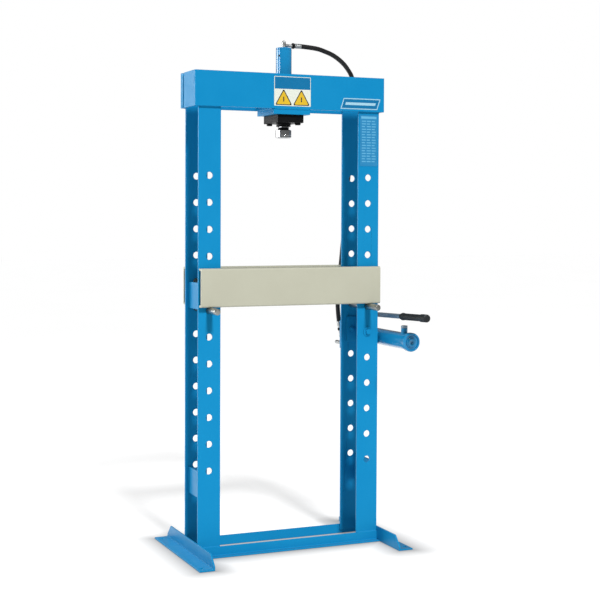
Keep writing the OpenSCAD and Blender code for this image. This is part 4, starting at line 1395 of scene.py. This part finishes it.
@dataclass(frozen=True)
class Plates:
    """The capacity sign, the badge and the instruction plate, with plain generic marks.

    Attributes:
        lift: how thick a printed field is.
        sink: how far it starts inside its plate.
        border: the sign's white border.
        slant: how much the badge leans, across for each unit up.
    """

    lift: float = 0.00006
    sink: float = 0.00002
    border: float = 0.0022
    slant: float = 14 / 42

    def build(self) -> None:
        """Makes the three plates."""
        self.sign()
        self.badge()
        self.leaf()

    def sign(self) -> None:
        """Makes the capacity sign: a blue band over two plain yellow triangles."""
        low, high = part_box("capacity_plate")
        corners = Bend(BACK, lambda at: True, 0.003, 4)
        eased("capacity_plate", "frame", SIGN_WHITE, 0.0002, [corners])
        middle = (low.x + high.x) / 2
        width = high.x - low.x - 2 * self.border
        split = low.z + 0.575 * (high.z - low.z)
        face = low.y + self.sink
        band = panel("sign_band", middle, (split + high.z - self.border) / 2, width,
                     high.z - self.border - split, face, self.lift)
        fitted(band, "frame", SIGN_BLUE)
        rims, fills = [], []
        side = (width - 0.006) / 2
        for x in (middle - side / 2 - 0.0015, middle + side / 2 + 0.0015):
            base = low.z + 0.003
            rims.append(self.triangle("sign_rim", x, base, side, face, self.lift))
            rims.append(panel("sign_stroke", x, base + 0.32 * side, 0.0045, 0.26 * side,
                              face - 0.00008, self.lift))
            fills.append(self.triangle("sign_fill", x, base + 0.0032, side - 0.012, face - 0.00004,
                                       self.lift))
        fitted(joined("sign_triangle_rims", rims), "frame", SIGN_BLACK)
        fitted(joined("sign_triangles", fills), "frame", SIGN_YELLOW)

    def triangle(self, name: str, x: float, z: float, side: float, y: float, thick: float) -> Piece:
        """Cuts a plain triangle that stands on its base.

        Args:
            name: its name.
            x: its middle.
            z: its base's height.
            side: its base's length.
            y: where its back lies.
            thick: its thickness.

        Returns:
            The triangle.
        """
        rise = side * 0.86
        nick = side * 0.06
        outline = [
            (x - side / 2 + nick, y, z), (x + side / 2 - nick, y, z),
            (x + side / 2 - nick / 2, y, z + nick), (x + nick / 2, y, z + rise - nick / 2),
            (x - nick / 2, y, z + rise - nick / 2), (x - side / 2 + nick / 2, y, z + nick),
        ]
        return film(name, outline, thick)

    def badge(self) -> None:
        """Makes the slanted badge, with a raised rim round a plain field."""
        low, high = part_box("badge_plate")
        piece = eased_copy("badge_plate", 0.0002)
        with shaping(piece, Kind.FACE):
            pick(piece, Kind.FACE, lambda at, way: way.y < -0.99 and at.y < low.y + NEAR_M)
            bpy.ops.mesh.inset(thickness=0.0028, depth=0)
            bpy.ops.mesh.inset(thickness=0.0006, depth=-0.0004)
        fitted(smoothed(piece), "frame", BADGE, "badge_plate")
        field = film("badge_field", self.slanted(low, high, 0.0036, 0.0036, low.y + 0.0004), 0.0002)
        fitted(field, "frame", SIGN_BLUE)
        stripe = film("badge_stripe", self.slanted(low, high, 0.014, 0.016, low.y + 0.0003), 0.0002)
        fitted(stripe, "frame", BADGE)

    def slanted(self, low: Vector, high: Vector, side: float, end: float, y: float) -> List[Vec]:
        """The corners of a slanted field inside the badge.

        Args:
            low: the badge's lowest corner.
            high: its highest corner.
            side: how far the field stays inside its slanted sides.
            end: how far it stays inside its top and bottom.
            y: where its back lies.

        Returns:
            The four corners.
        """
        slant = self.slant
        across = side * math.sqrt(1 + slant * slant)
        lean = slant * (high.z - low.z)
        corners = []
        for x, z in ((low.x + across, low.z + end), (high.x - lean - across, low.z + end),
                     (high.x - lean - across, high.z - end), (low.x + across, high.z - end)):
            corners.append((x + slant * (z - low.z), y, z))
        return corners

    def leaf(self) -> None:
        """Makes the instruction plate, with plain bars in three columns."""
        low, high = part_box("instruction_plate")
        corners = Bend(BACK, lambda at: True, 0.002, 3)
        eased("instruction_plate", "frame", LEAF, 0.0002, [corners])
        face = low.y + self.sink
        column = (high.x - low.x - 0.012) / 3
        bars = []
        bars.append(panel("leaf_head", (low.x + high.x) / 2, high.z - 0.010,
                          high.x - low.x - 0.010, 0.009, face, self.lift))
        for row in range(16):
            z = high.z - 0.024 - row * 0.0104
            for spot in range(3):
                short = 0.004 if (row + spot) % 3 == 2 else 0.0
                x = low.x + 0.006 + (spot + 0.5) * column - short / 2
                bars.append(panel("leaf_bar", x, z, column - 0.004 - short, 0.0036, face, self.lift))
        fitted(joined("instruction_bars", bars), "frame", LEAF_PRINT)


# ---- the cylinder -------------------------------------------------------------------------


@dataclass(frozen=True)
class Cylinder:
    """The single-acting cylinder with its flange, gland, rod and nose.

    Attributes:
        bolt_across: the flange bolts' width across the flats.
        bolt_head: the height of their heads.
        stroke: how far the ram travels; not used.
    """

    bolt_across: float = 0.019
    bolt_head: float = 0.008
    stroke: float = 0.150

    def build(self) -> None:
        """Makes the cylinder and the ram."""
        self.body()
        self.flange()
        self.ram()

    def body(self) -> None:
        """Makes the barrel, the cap with its edge weld, and the lock screw."""
        eased("cylinder_barrel", "frame", GLOSS_PAINT, 0.0006)
        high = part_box("cylinder_cap")[1]
        radius, port = high.x, 0.004
        cap = turned("made_cylinder_cap", [
            (port, -0.016), (0.0229, -0.016), (0.0229, -0.008), (radius, -0.008),
            (radius, -0.0065), (radius - 0.0012, -0.0055), (radius, -0.0045), (radius, -0.0015),
            (radius - 0.0015, 0), (0.012, 0), (0.011, -0.0008), (port, -0.0008),
        ], (0, 0, high.z), UP, 0.0003, 56)
        fitted(cap, "frame", GLOSS_PAINT, "cylinder_cap")
        eased("cap_lock_screw", "frame", BLACK, 0.0003)

    def flange(self) -> None:
        """Makes the black flange, its bolts and the rod gland."""
        eased("cylinder_flange", "frame", BLACK, 0.0012)
        low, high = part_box("cylinder_flange")
        x, y = high.x - 0.015, high.y - 0.022
        head = hexagon("bolt_head", self.bolt_across, self.bolt_head - 0.0018,
                       (-x, -y, low.z - 0.0018), DOWN)
        washer = turned("bolt_washer", section(0.0118, 0.0018),
                        (-x, -y, low.z), DOWN, 0.0003)
        stub = turned("bolt_end", [(0, 0), (0.006, 0), (0.006, 0.0505), (0.005, 0.0518), (0, 0.0518)],
                      (-x, -y, low.z), UP, 0)
        bolt = joined("made_flange_bolts", [head, washer, stub])
        bolts = copied(bolt, [(2 * x, 0, 0), (0, 2 * y, 0), (2 * x, 2 * y, 0)])
        fitted(bolts, "frame", BLACK, "flange_bolts")
        low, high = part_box("rod_gland")
        drop, rod, spigot = 0.013, 0.01756, high.z - low.z
        gland = turned("made_rod_gland", [
            (rod, 0.005), (rod + 0.004, 0.005), (rod + 0.004, 0), (0.026, 0), (0.028, 0.002),
            (0.028, 0.0045), (0.0268, 0.0055), (0.0268, 0.007), (0.028, 0.008), (0.028, drop),
            (0.026, drop), (0.026, spigot), (rod, spigot),
        ], (0, 0, low.z), UP, 0.0003, 56)
        fitted(gland, "frame", BLACK, "rod_gland")
        wiper = turned("made_rod_wiper", [
            (rod, 0.0005), (rod + 0.0015, -0.0006), (rod + 0.0037, 0.0006), (rod + 0.0037, 0.005),
            (rod, 0.005),
        ], (0, 0, low.z), UP, 0.0002)
        fitted(wiper, "frame", SEAL, "rod_wiper")

    def ram(self) -> None:
        """Makes the collar and the nose, and finishes the hidden pieces of the ram."""
        low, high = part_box("ram_nose")
        radius, tall, rod = high.x, high.z - low.z, 0.0175
        nose = turned("made_ram_nose", [
            (0, 0.0012), (0.004, 0), (radius - 0.003, 0), (radius, 0.003), (radius, 0.0085),
            (radius - 0.0007, 0.0092), (radius, 0.0099), (radius, tall - 0.0022),
            (radius - 0.0022, tall), (rod, tall), (rod, tall - 0.011), (0, tall - 0.011),
        ], (0, 0, low.z), UP, 0.0003, 64)
        hole = turned("nose_hole", [(0, -0.004), (0.0028, -0.004), (0.0028, 0.004), (0, 0.005)],
                      (0.0268, -0.0135, low.z + 0.0195), (0.893, -0.45, 0), 0, 20)
        fitted(smoothed(hollowed(nose, hole)), "ram", NOSE, "ram_nose")
        low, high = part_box("ram_collar")
        outer, tall = high.x, high.z - low.z
        collar = turned("made_ram_collar", [
            (rod, 0), (outer, 0), (outer, 0.0035), (outer - 0.001, 0.0045), (outer - 0.001, 0.0055),
            (outer, 0.0065), (outer, tall), (rod, tall),
        ], (0, 0, low.z), UP, 0.0004)
        fitted(collar, "ram", BLACK, "ram_collar")
        dressed("ram_rod", CHROME)
        dressed("piston", STEEL)
        dressed("piston_seal", SEAL)
        self.spring()

    def spring(self) -> None:
        """Makes the return spring from a smooth copy of the CAD spring's mesh."""
        piece = added("made_return_spring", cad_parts["return_spring"].data.copy())
        with shaping(piece, Kind.POINT):
            bpy.ops.mesh.select_all(action="SELECT")
            bpy.ops.mesh.remove_doubles(threshold=MERGE_M)
            bpy.ops.mesh.customdata_custom_splitnormals_clear()
        fitted(smoothed(piece), "frame", STEEL, "return_spring")
        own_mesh(piece)


# ---- the bed and its pins -----------------------------------------------------------------


@dataclass(frozen=True)
class Bed:
    """The two bed channels, the spacers between them and the pins below.

    Attributes:
        outside: the outside radius of the channels' bends.
        inside: their inside radius.
        thickness: the channels' thickness.
    """

    outside: float = 0.007
    inside: float = 0.004
    thickness: float = 0.008

    def build(self) -> None:
        """Makes the channels, the spacers and both pins."""
        for face, way in (("front", -1), ("rear", 1)):
            self.channel("bed_channel_" + face, way)
        self.spacers()
        for side, body in (("left", "left_pin"), ("right", "right_pin")):
            self.pin(side, body)

    def channel(self, node: str, way: int) -> None:
        """Makes one channel, with round bends.

        Args:
            node: its CAD node.
            way: -1 in front and 1 behind; not used.
        """
        low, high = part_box(node)
        web = max(abs(low.y), abs(high.y))
        lip = min(abs(low.y), abs(high.y))

        def inside(at: Vector) -> bool:
            return low.z + 0.001 < at.z < high.z - 0.001

        bends = [
            Bend(RIGHT, lambda at: close(abs(at.y), web), self.outside, 5),
            Bend(RIGHT, lambda at: close(abs(at.y), web - self.thickness) and inside(at),
                 self.inside, 3),
            Bend(RIGHT, lambda at: close(abs(at.y), lip) and inside(at), 0.0025, 3),
        ]
        eased(node, "bed", BEIGE, 0.0008, bends)

    def spacers(self) -> None:
        """Makes the spacer tubes and the welds at their ends."""
        eased("bed_spacers", "bed", BEIGE, 0.0006)
        low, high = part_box("bed_spacers")
        radius = 0.017
        x = high.x - radius
        beads = []
        for side in (-1, 1):
            for z in (low.z + radius, high.z - radius):
                for face in (-1, 1):
                    beads.append(ring_bead((side * x, face * high.y, z), BACK, radius, 0.0022))
        fitted(joined("weld_beads_bed", beads), "bed", BEIGE)

    def pin(self, side: str, body: str) -> None:
        """Turns one bed pin, with a groove near its front end.

        Args:
            side: left or right.
            body: the body that it rides on.
        """
        node = "bed_pin_" + side
        low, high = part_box(node)
        x, _, z = middle_of(node)
        radius, length = (high.x - low.x) / 2, high.y - low.y
        pin = turned("made_" + node, [
            (0, 0), (radius - 0.003, 0), (radius, 0.003), (radius, 0.012), (radius - 0.0012, 0.0132),
            (radius - 0.0012, 0.0158), (radius, 0.017), (radius, length - 0.003),
            (radius - 0.003, length), (0, length),
        ], (x, low.y, z), BACK, 0.0004, 48)
        fitted(pin, body, STEEL, node)


# ---- the pump and its lever ---------------------------------------------------------------


@dataclass(frozen=True)
class Pump:
    """The hand pump: bracket, reservoir, head, filler and release valve.

    Attributes:
        bend: the outside radius of the bracket's bends.
        cast: the eased edge of the pump head.
        bolt_across: the bracket bolts' width across the flats.
    """

    bend: float = 0.008
    cast: float = 0.001
    bolt_across: float = 0.019

    def build(self) -> None:
        """Makes the pump's pieces, from the bracket to the release valve."""
        self.bracket()
        self.reservoir()
        self.cap()
        self.filler()
        self.head()
        self.release()

    def bracket(self) -> None:
        """Makes the bent bracket, its bolts, the saddles and their bolts."""
        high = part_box("pump_bracket")[1]
        web, edge, sheet = high.x, high.y, 0.006
        bends = [
            Bend(UP, lambda at: close(at.x, web) and close(abs(at.y), edge), self.bend, 5),
            Bend(UP, lambda at: close(at.x, web - sheet) and close(abs(at.y), edge - sheet),
                 0.003, 3),
        ]
        eased("pump_bracket", "frame", PAINT, 0.0008, bends)
        x, _, z = middle_of("bracket_bolts")
        bar = -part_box("upright_bar_front_right")[0].y
        parts = []
        for way in (-1, 1):
            out = (0, way, 0)
            parts += [
                turned("washer", section(0.0185, 0.003),
                       (x, way * bar, z), out, 0.0005),
                hexagon("head", self.bolt_across, 0.008, (x, way * (bar + 0.003), z), out),
                turned("shank", [(0, 0), (0.006, 0), (0.006, 0.0222), (0.0052, 0.023), (0, 0.023)],
                       (x, way * bar, z), (0, -way, 0), 0),
                hexagon("nut", self.bolt_across, 0.006, (x, way * (bar - 0.0143), z), (0, -way, 0)),
            ]
        fitted(joined("made_bracket_bolts", parts), "frame", PAINT, "bracket_bolts")
        eased("pump_saddles", "frame", PAINT, 0.0008)
        low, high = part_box("saddle_bolts")
        seat = low.x + 0.005
        y, z = high.y - 0.0075, (low.z + high.z) / 2
        head = hexagon("saddle_head", 0.013, 0.005, (seat, -y, z - 0.014), (-1, 0, 0))
        shank = turned("saddle_shank", section(0.004, 0.012),
                       (seat, -y, z - 0.014), RIGHT, 0)
        bolts = copied(joined("made_saddle_bolts", [head, shank]),
                       [(0, 2 * y, 0), (0, 0, 0.028), (0, 2 * y, 0.028)])
        fitted(bolts, "frame", BLACK, "saddle_bolts")

    def reservoir(self) -> None:
        """Makes the tube, and the welds at its neck and at the pump head."""
        eased("reservoir_tube", "frame", GLOSS_PAINT, 0.0006)
        low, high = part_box("reservoir_tube")
        x, radius = (low.x + high.x) / 2, (high.x - low.x) / 2
        axis = low.z + radius
        neck = ring_bead((x, -0.226, 0), UP, 0.0125, 0.0022)
        for point in neck.data.vertices:
            across = min(abs(point.co.x - x), radius)
            point.co.z += axis + math.sqrt(radius * radius - across * across)
        seam = ring_bead((x, high.y, axis), BACK, radius - 0.0006, 0.0026)
        fitted(joined("weld_beads_pump", [neck, seam]), "frame", PAINT)

    def cap(self) -> None:
        """Turns the reservoir's front cap and its plug."""
        low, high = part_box("reservoir_cap")
        x, _, z = middle_of("reservoir_cap")
        rim = (high.x - low.x) / 2
        cap = turned("made_reservoir_cap", [
            (0.0081, 0.002), (0.019, 0.002), (0.0205, 0.0035), (0.0205, 0.007), (rim - 0.0075, 0.007),
            (rim - 0.0065, 0.001), (rim - 0.0055, 0), (rim - 0.003, 0), (rim, 0.003),
            (rim, 0.0195), (rim - 0.0022, 0.023), (0.0283, 0.023), (0.0283, 0.035),
            (0.0081, 0.035),
        ], (x, low.y, z), BACK, 0.0004, 64)
        fitted(cap, "frame", GLOSS_PAINT, "reservoir_cap")
        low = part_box("reservoir_plug")[0]
        plug = turned("made_reservoir_plug", [
            (0, 0), (0.0135, 0), (0.016, 0.0018), (0.016, 0.007), (0.008, 0.007), (0.008, 0.0295),
            (0, 0.0295),
        ], (x, low.y, z), BACK, 0.0004, 40)
        hex_socket(plug, 0.010, 0.005, (x, low.y, z), FRONT)
        fitted(smoothed(plug), "frame", GLOSS_PAINT, "reservoir_plug")

    def filler(self) -> None:
        """Turns the knurled filler plug."""
        low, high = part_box("filler_plug")
        x, y, _ = middle_of("filler_plug")
        radius = (high.x - low.x) / 2
        plug = turned("made_filler_plug", [
            (0, -0.012), (0.0065, -0.012), (0.0078, -0.0105), (0.0078, 0), (radius, 0),
            (radius, 0.0012), (radius, 0.0076), (radius - 0.0016, 0.009), (0.006, 0.009),
            (0.005, 0.0084), (0, 0.0084),
        ], ease=0.0003)
        knurl(plug, radius, 0.0002, 0.0088, 0.0008)
        fitted(place(plug, (x, y, low.z + 0.012), UP), "filler", BLUE_ZINC, "filler_plug")

    def head(self) -> None:
        """Makes the pump head with its plugs, the gland nut and the plunger."""
        low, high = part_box("pump_head")
        x = (low.x + high.x) / 2
        side = (high.x - low.x) / 2
        bends = [Bend(UP, lambda at: at.z < low.z + 0.11 and close(abs(at.x - x), side), 0.005, 4)]
        eased("pump_head", "frame", PAINT, self.cast, bends)
        parts = []
        for at, along in (
            ((high.x - 0.0005, low.y + 0.022, low.z + 0.028), RIGHT),
            ((high.x - 0.0005, high.y - 0.026, low.z + 0.080), RIGHT),
            ((x + 0.4 * side, high.y - 0.0005, low.z + 0.084), BACK),
        ):
            plug = turned("head_plug", [(0, 0), (0.0085, 0), (0.0085, 0.0012), (0.0075, 0.002),
                                        (0, 0.002)], at, along, 0.0002, 28)
            mouth = Vector(at) + 0.002 * Vector(along)
            parts.append(hex_socket(plug, 0.006, 0.0012, mouth, along))
        fitted(smoothed(joined("pump_head_plugs", parts)), "frame", BLACK)
        low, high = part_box("plunger_gland")
        middle = (*middle_of("plunger_gland")[:2], low.z)
        nut = hexagon("made_plunger_gland", 0.027, high.z - low.z, middle, UP, turn=math.pi / 6)
        bore = turned("bore", section(0.0081, 0.02, low=-0.01), middle, UP, 0)
        fitted(smoothed(hollowed(nut, bore)), "frame", BLACK, "plunger_gland")
        eased("plunger", "pump_plunger", STEEL, 0.0008)

    def release(self) -> None:
        """Makes the release valve, with its hexagon shoulder and knurled, slotted knob."""
        low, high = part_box("release_valve")
        x, _, z = middle_of("release_valve")
        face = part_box("pump_head")[1].y + 0.0003
        start = low.y - face
        stem = turned("release_stem", [
            (0, start), (0.005, start), (0.005, 0.013), (0.0044, 0.0145), (0.0044, 0.038),
            (0.005, 0.0395), (0.005, 0.043), (0, 0.043),
        ], (x, face, z), BACK)
        shoulder = hexagon("release_shoulder", 0.017, 0.012, (x, face, z), BACK, True)
        length = high.y - face
        knob = turned("release_knob", [
            (0, 0.0417), (0.0062, 0.0417), (0.0075, 0.043), (0.0075, length - 0.0016),
            (0.0059, length), (0, length),
        ], ease=0.0002)
        knurl(knob, 0.0075, 0.046, length - 0.004, 0.0004)
        place(knob, (x, face, z), BACK)
        bpy.ops.mesh.primitive_cube_add(size=1, location=(x, high.y, z), scale=(0.002, 0.008, 0.02))
        hollowed(knob, settle(bpy.context.object))
        parts = [stem, shoulder, smoothed(knob)]
        fitted(joined("made_release_valve", parts), "valve", ZINC, "release_valve")


@dataclass(frozen=True)
class Lever:
    """The pump's lever: pins, fork with its socket, handle and grip.

    Attributes:
        rest: the lever's angle at rest, in degrees.
        reach: from the fulcrum to the end of the grip.
        ribs: how many rings the grip has.
        pivot: the fulcrum's Y and Z.
        socket: from the fulcrum to the socket's end.
    """

    rest: float = 2.0
    reach: float = 0.672
    ribs: int = 17
    pivot: Tuple[float, float] = (0.266, 0.872)
    socket: float = 0.186

    def build(self) -> None:
        """Makes the lever's pieces."""
        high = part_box("lever_pins")[1]
        fulcrum = Vector((middle_of("lever_pins")[0], *self.pivot))
        tilt = math.radians(self.rest)
        out = Vector((0, -math.cos(tilt), math.sin(tilt)))
        eased("lever_fork", "lever", PAINT, 0.0010)
        eased("lever_handle", "lever", BLUE_ZINC, 0.0005)
        socket_end = fulcrum + self.socket * out
        seam = ring_bead(socket_end - 0.0008 * out, out, 0.0098, 0.0016)
        shoulder = ring_bead(fulcrum + 0.092 * out, out, 0.0136, 0.0018)
        fitted(joined("weld_beads_lever", [seam, shoulder]), "lever", PAINT)
        self.pins(fulcrum, out, high.x - fulcrum.x)
        self.grip(fulcrum, out)

    def pins(self, fulcrum: Vector, out: Vector, half: float) -> None:
        """Turns the fulcrum pin with its spring rings, and the drive pin.

        Args:
            fulcrum: the middle of the fulcrum pin.
            out: the way along the lever.
            half: half the fulcrum pin's length.
        """
        r = 0.005
        groove = half - 0.0014
        long_pin = turned("fulcrum_pin", [
            (0, -half), (r - 0.0008, -half), (r, -half + 0.0008), (r, -groove), (r - 0.0005, -groove),
            (r - 0.0005, -groove + 0.0009), (r, -groove + 0.0009), (r, groove - 0.0009),
            (r - 0.0005, groove - 0.0009), (r - 0.0005, groove), (r, groove), (r, half - 0.0008),
            (r - 0.0008, half), (0, half),
        ], fulcrum, RIGHT, 0, 32)
        drive = fulcrum + 0.040 * out
        short_half = 0.0135
        short_pin = turned("drive_pin", [
            (0, -short_half), (0.0034, -short_half), (0.004, -short_half + 0.0006),
            (0.004, short_half - 0.0006), (0.0034, short_half), (0, short_half),
        ], drive, RIGHT, 0, 32)
        rings = []
        for side in (-1, 1):
            seat = fulcrum + Vector((side * (groove - 0.0009), 0, 0))
            rings.append(turned("spring_ring", section(r + 0.0018, 0.0008, r - 0.0004), seat,
                                (side, 0, 0), 0.0001, 28))
        fitted(joined("made_lever_pins", [long_pin, short_pin, *rings]), "lever", ZINC, "lever_pins")

    def grip(self, fulcrum: Vector, out: Vector) -> None:
        """Turns the rubber grip, with a flared end and rings to hold on to.

        Args:
            fulcrum: the middle of the fulcrum pin.
            out: the way along the lever.
        """
        tube, body, collar, length = 0.0095, 0.013, 0.015, 0.205
        profile = [(0, 0), (collar - 0.004, 0), (collar - 0.0008, 0.0016), (collar, 0.004),
                   (collar, 0.014), (collar - 0.0012, 0.016), (collar - 0.0012, 0.020),
                   (collar, 0.022), (collar, 0.042), (body, 0.050)]
        pitch = (0.180 - 0.056) / self.ribs
        for rib in range(self.ribs):
            low = 0.056 + rib * pitch
            profile += [(body - 0.0009, low), (body - 0.0009, low + 0.3 * pitch),
                        (body, low + 0.45 * pitch), (body, low + 0.85 * pitch)]
        profile += [(body, 0.183), (body + 0.0015, 0.185), (body + 0.0015, 0.191), (body, 0.193),
                    (body - 0.002, length), (tube + 0.0001, length), (tube + 0.0001, 0.004),
                    (0, 0.004)]
        end = fulcrum + self.reach * out
        grip = turned("made_handle_grip", profile, end, -out, 0.0002, 40)
        fitted(grip, "lever", GRIP, "handle_grip")


def main() -> None:
    """Builds the press round its frame, sub-assembly by sub-assembly."""
    logging.basicConfig(level=logging.INFO, format="%(name)s: %(message)s")
    Camera().set_up()
    Studio().set_up()
    hose = Hose()
    hose.build()
    hose.fittings()
    for assembly in (Frame(), Plates(), Cylinder(), Bed(), Pump(), Lever()):
        assembly.build()


if __name__ == "__main__":
    main()
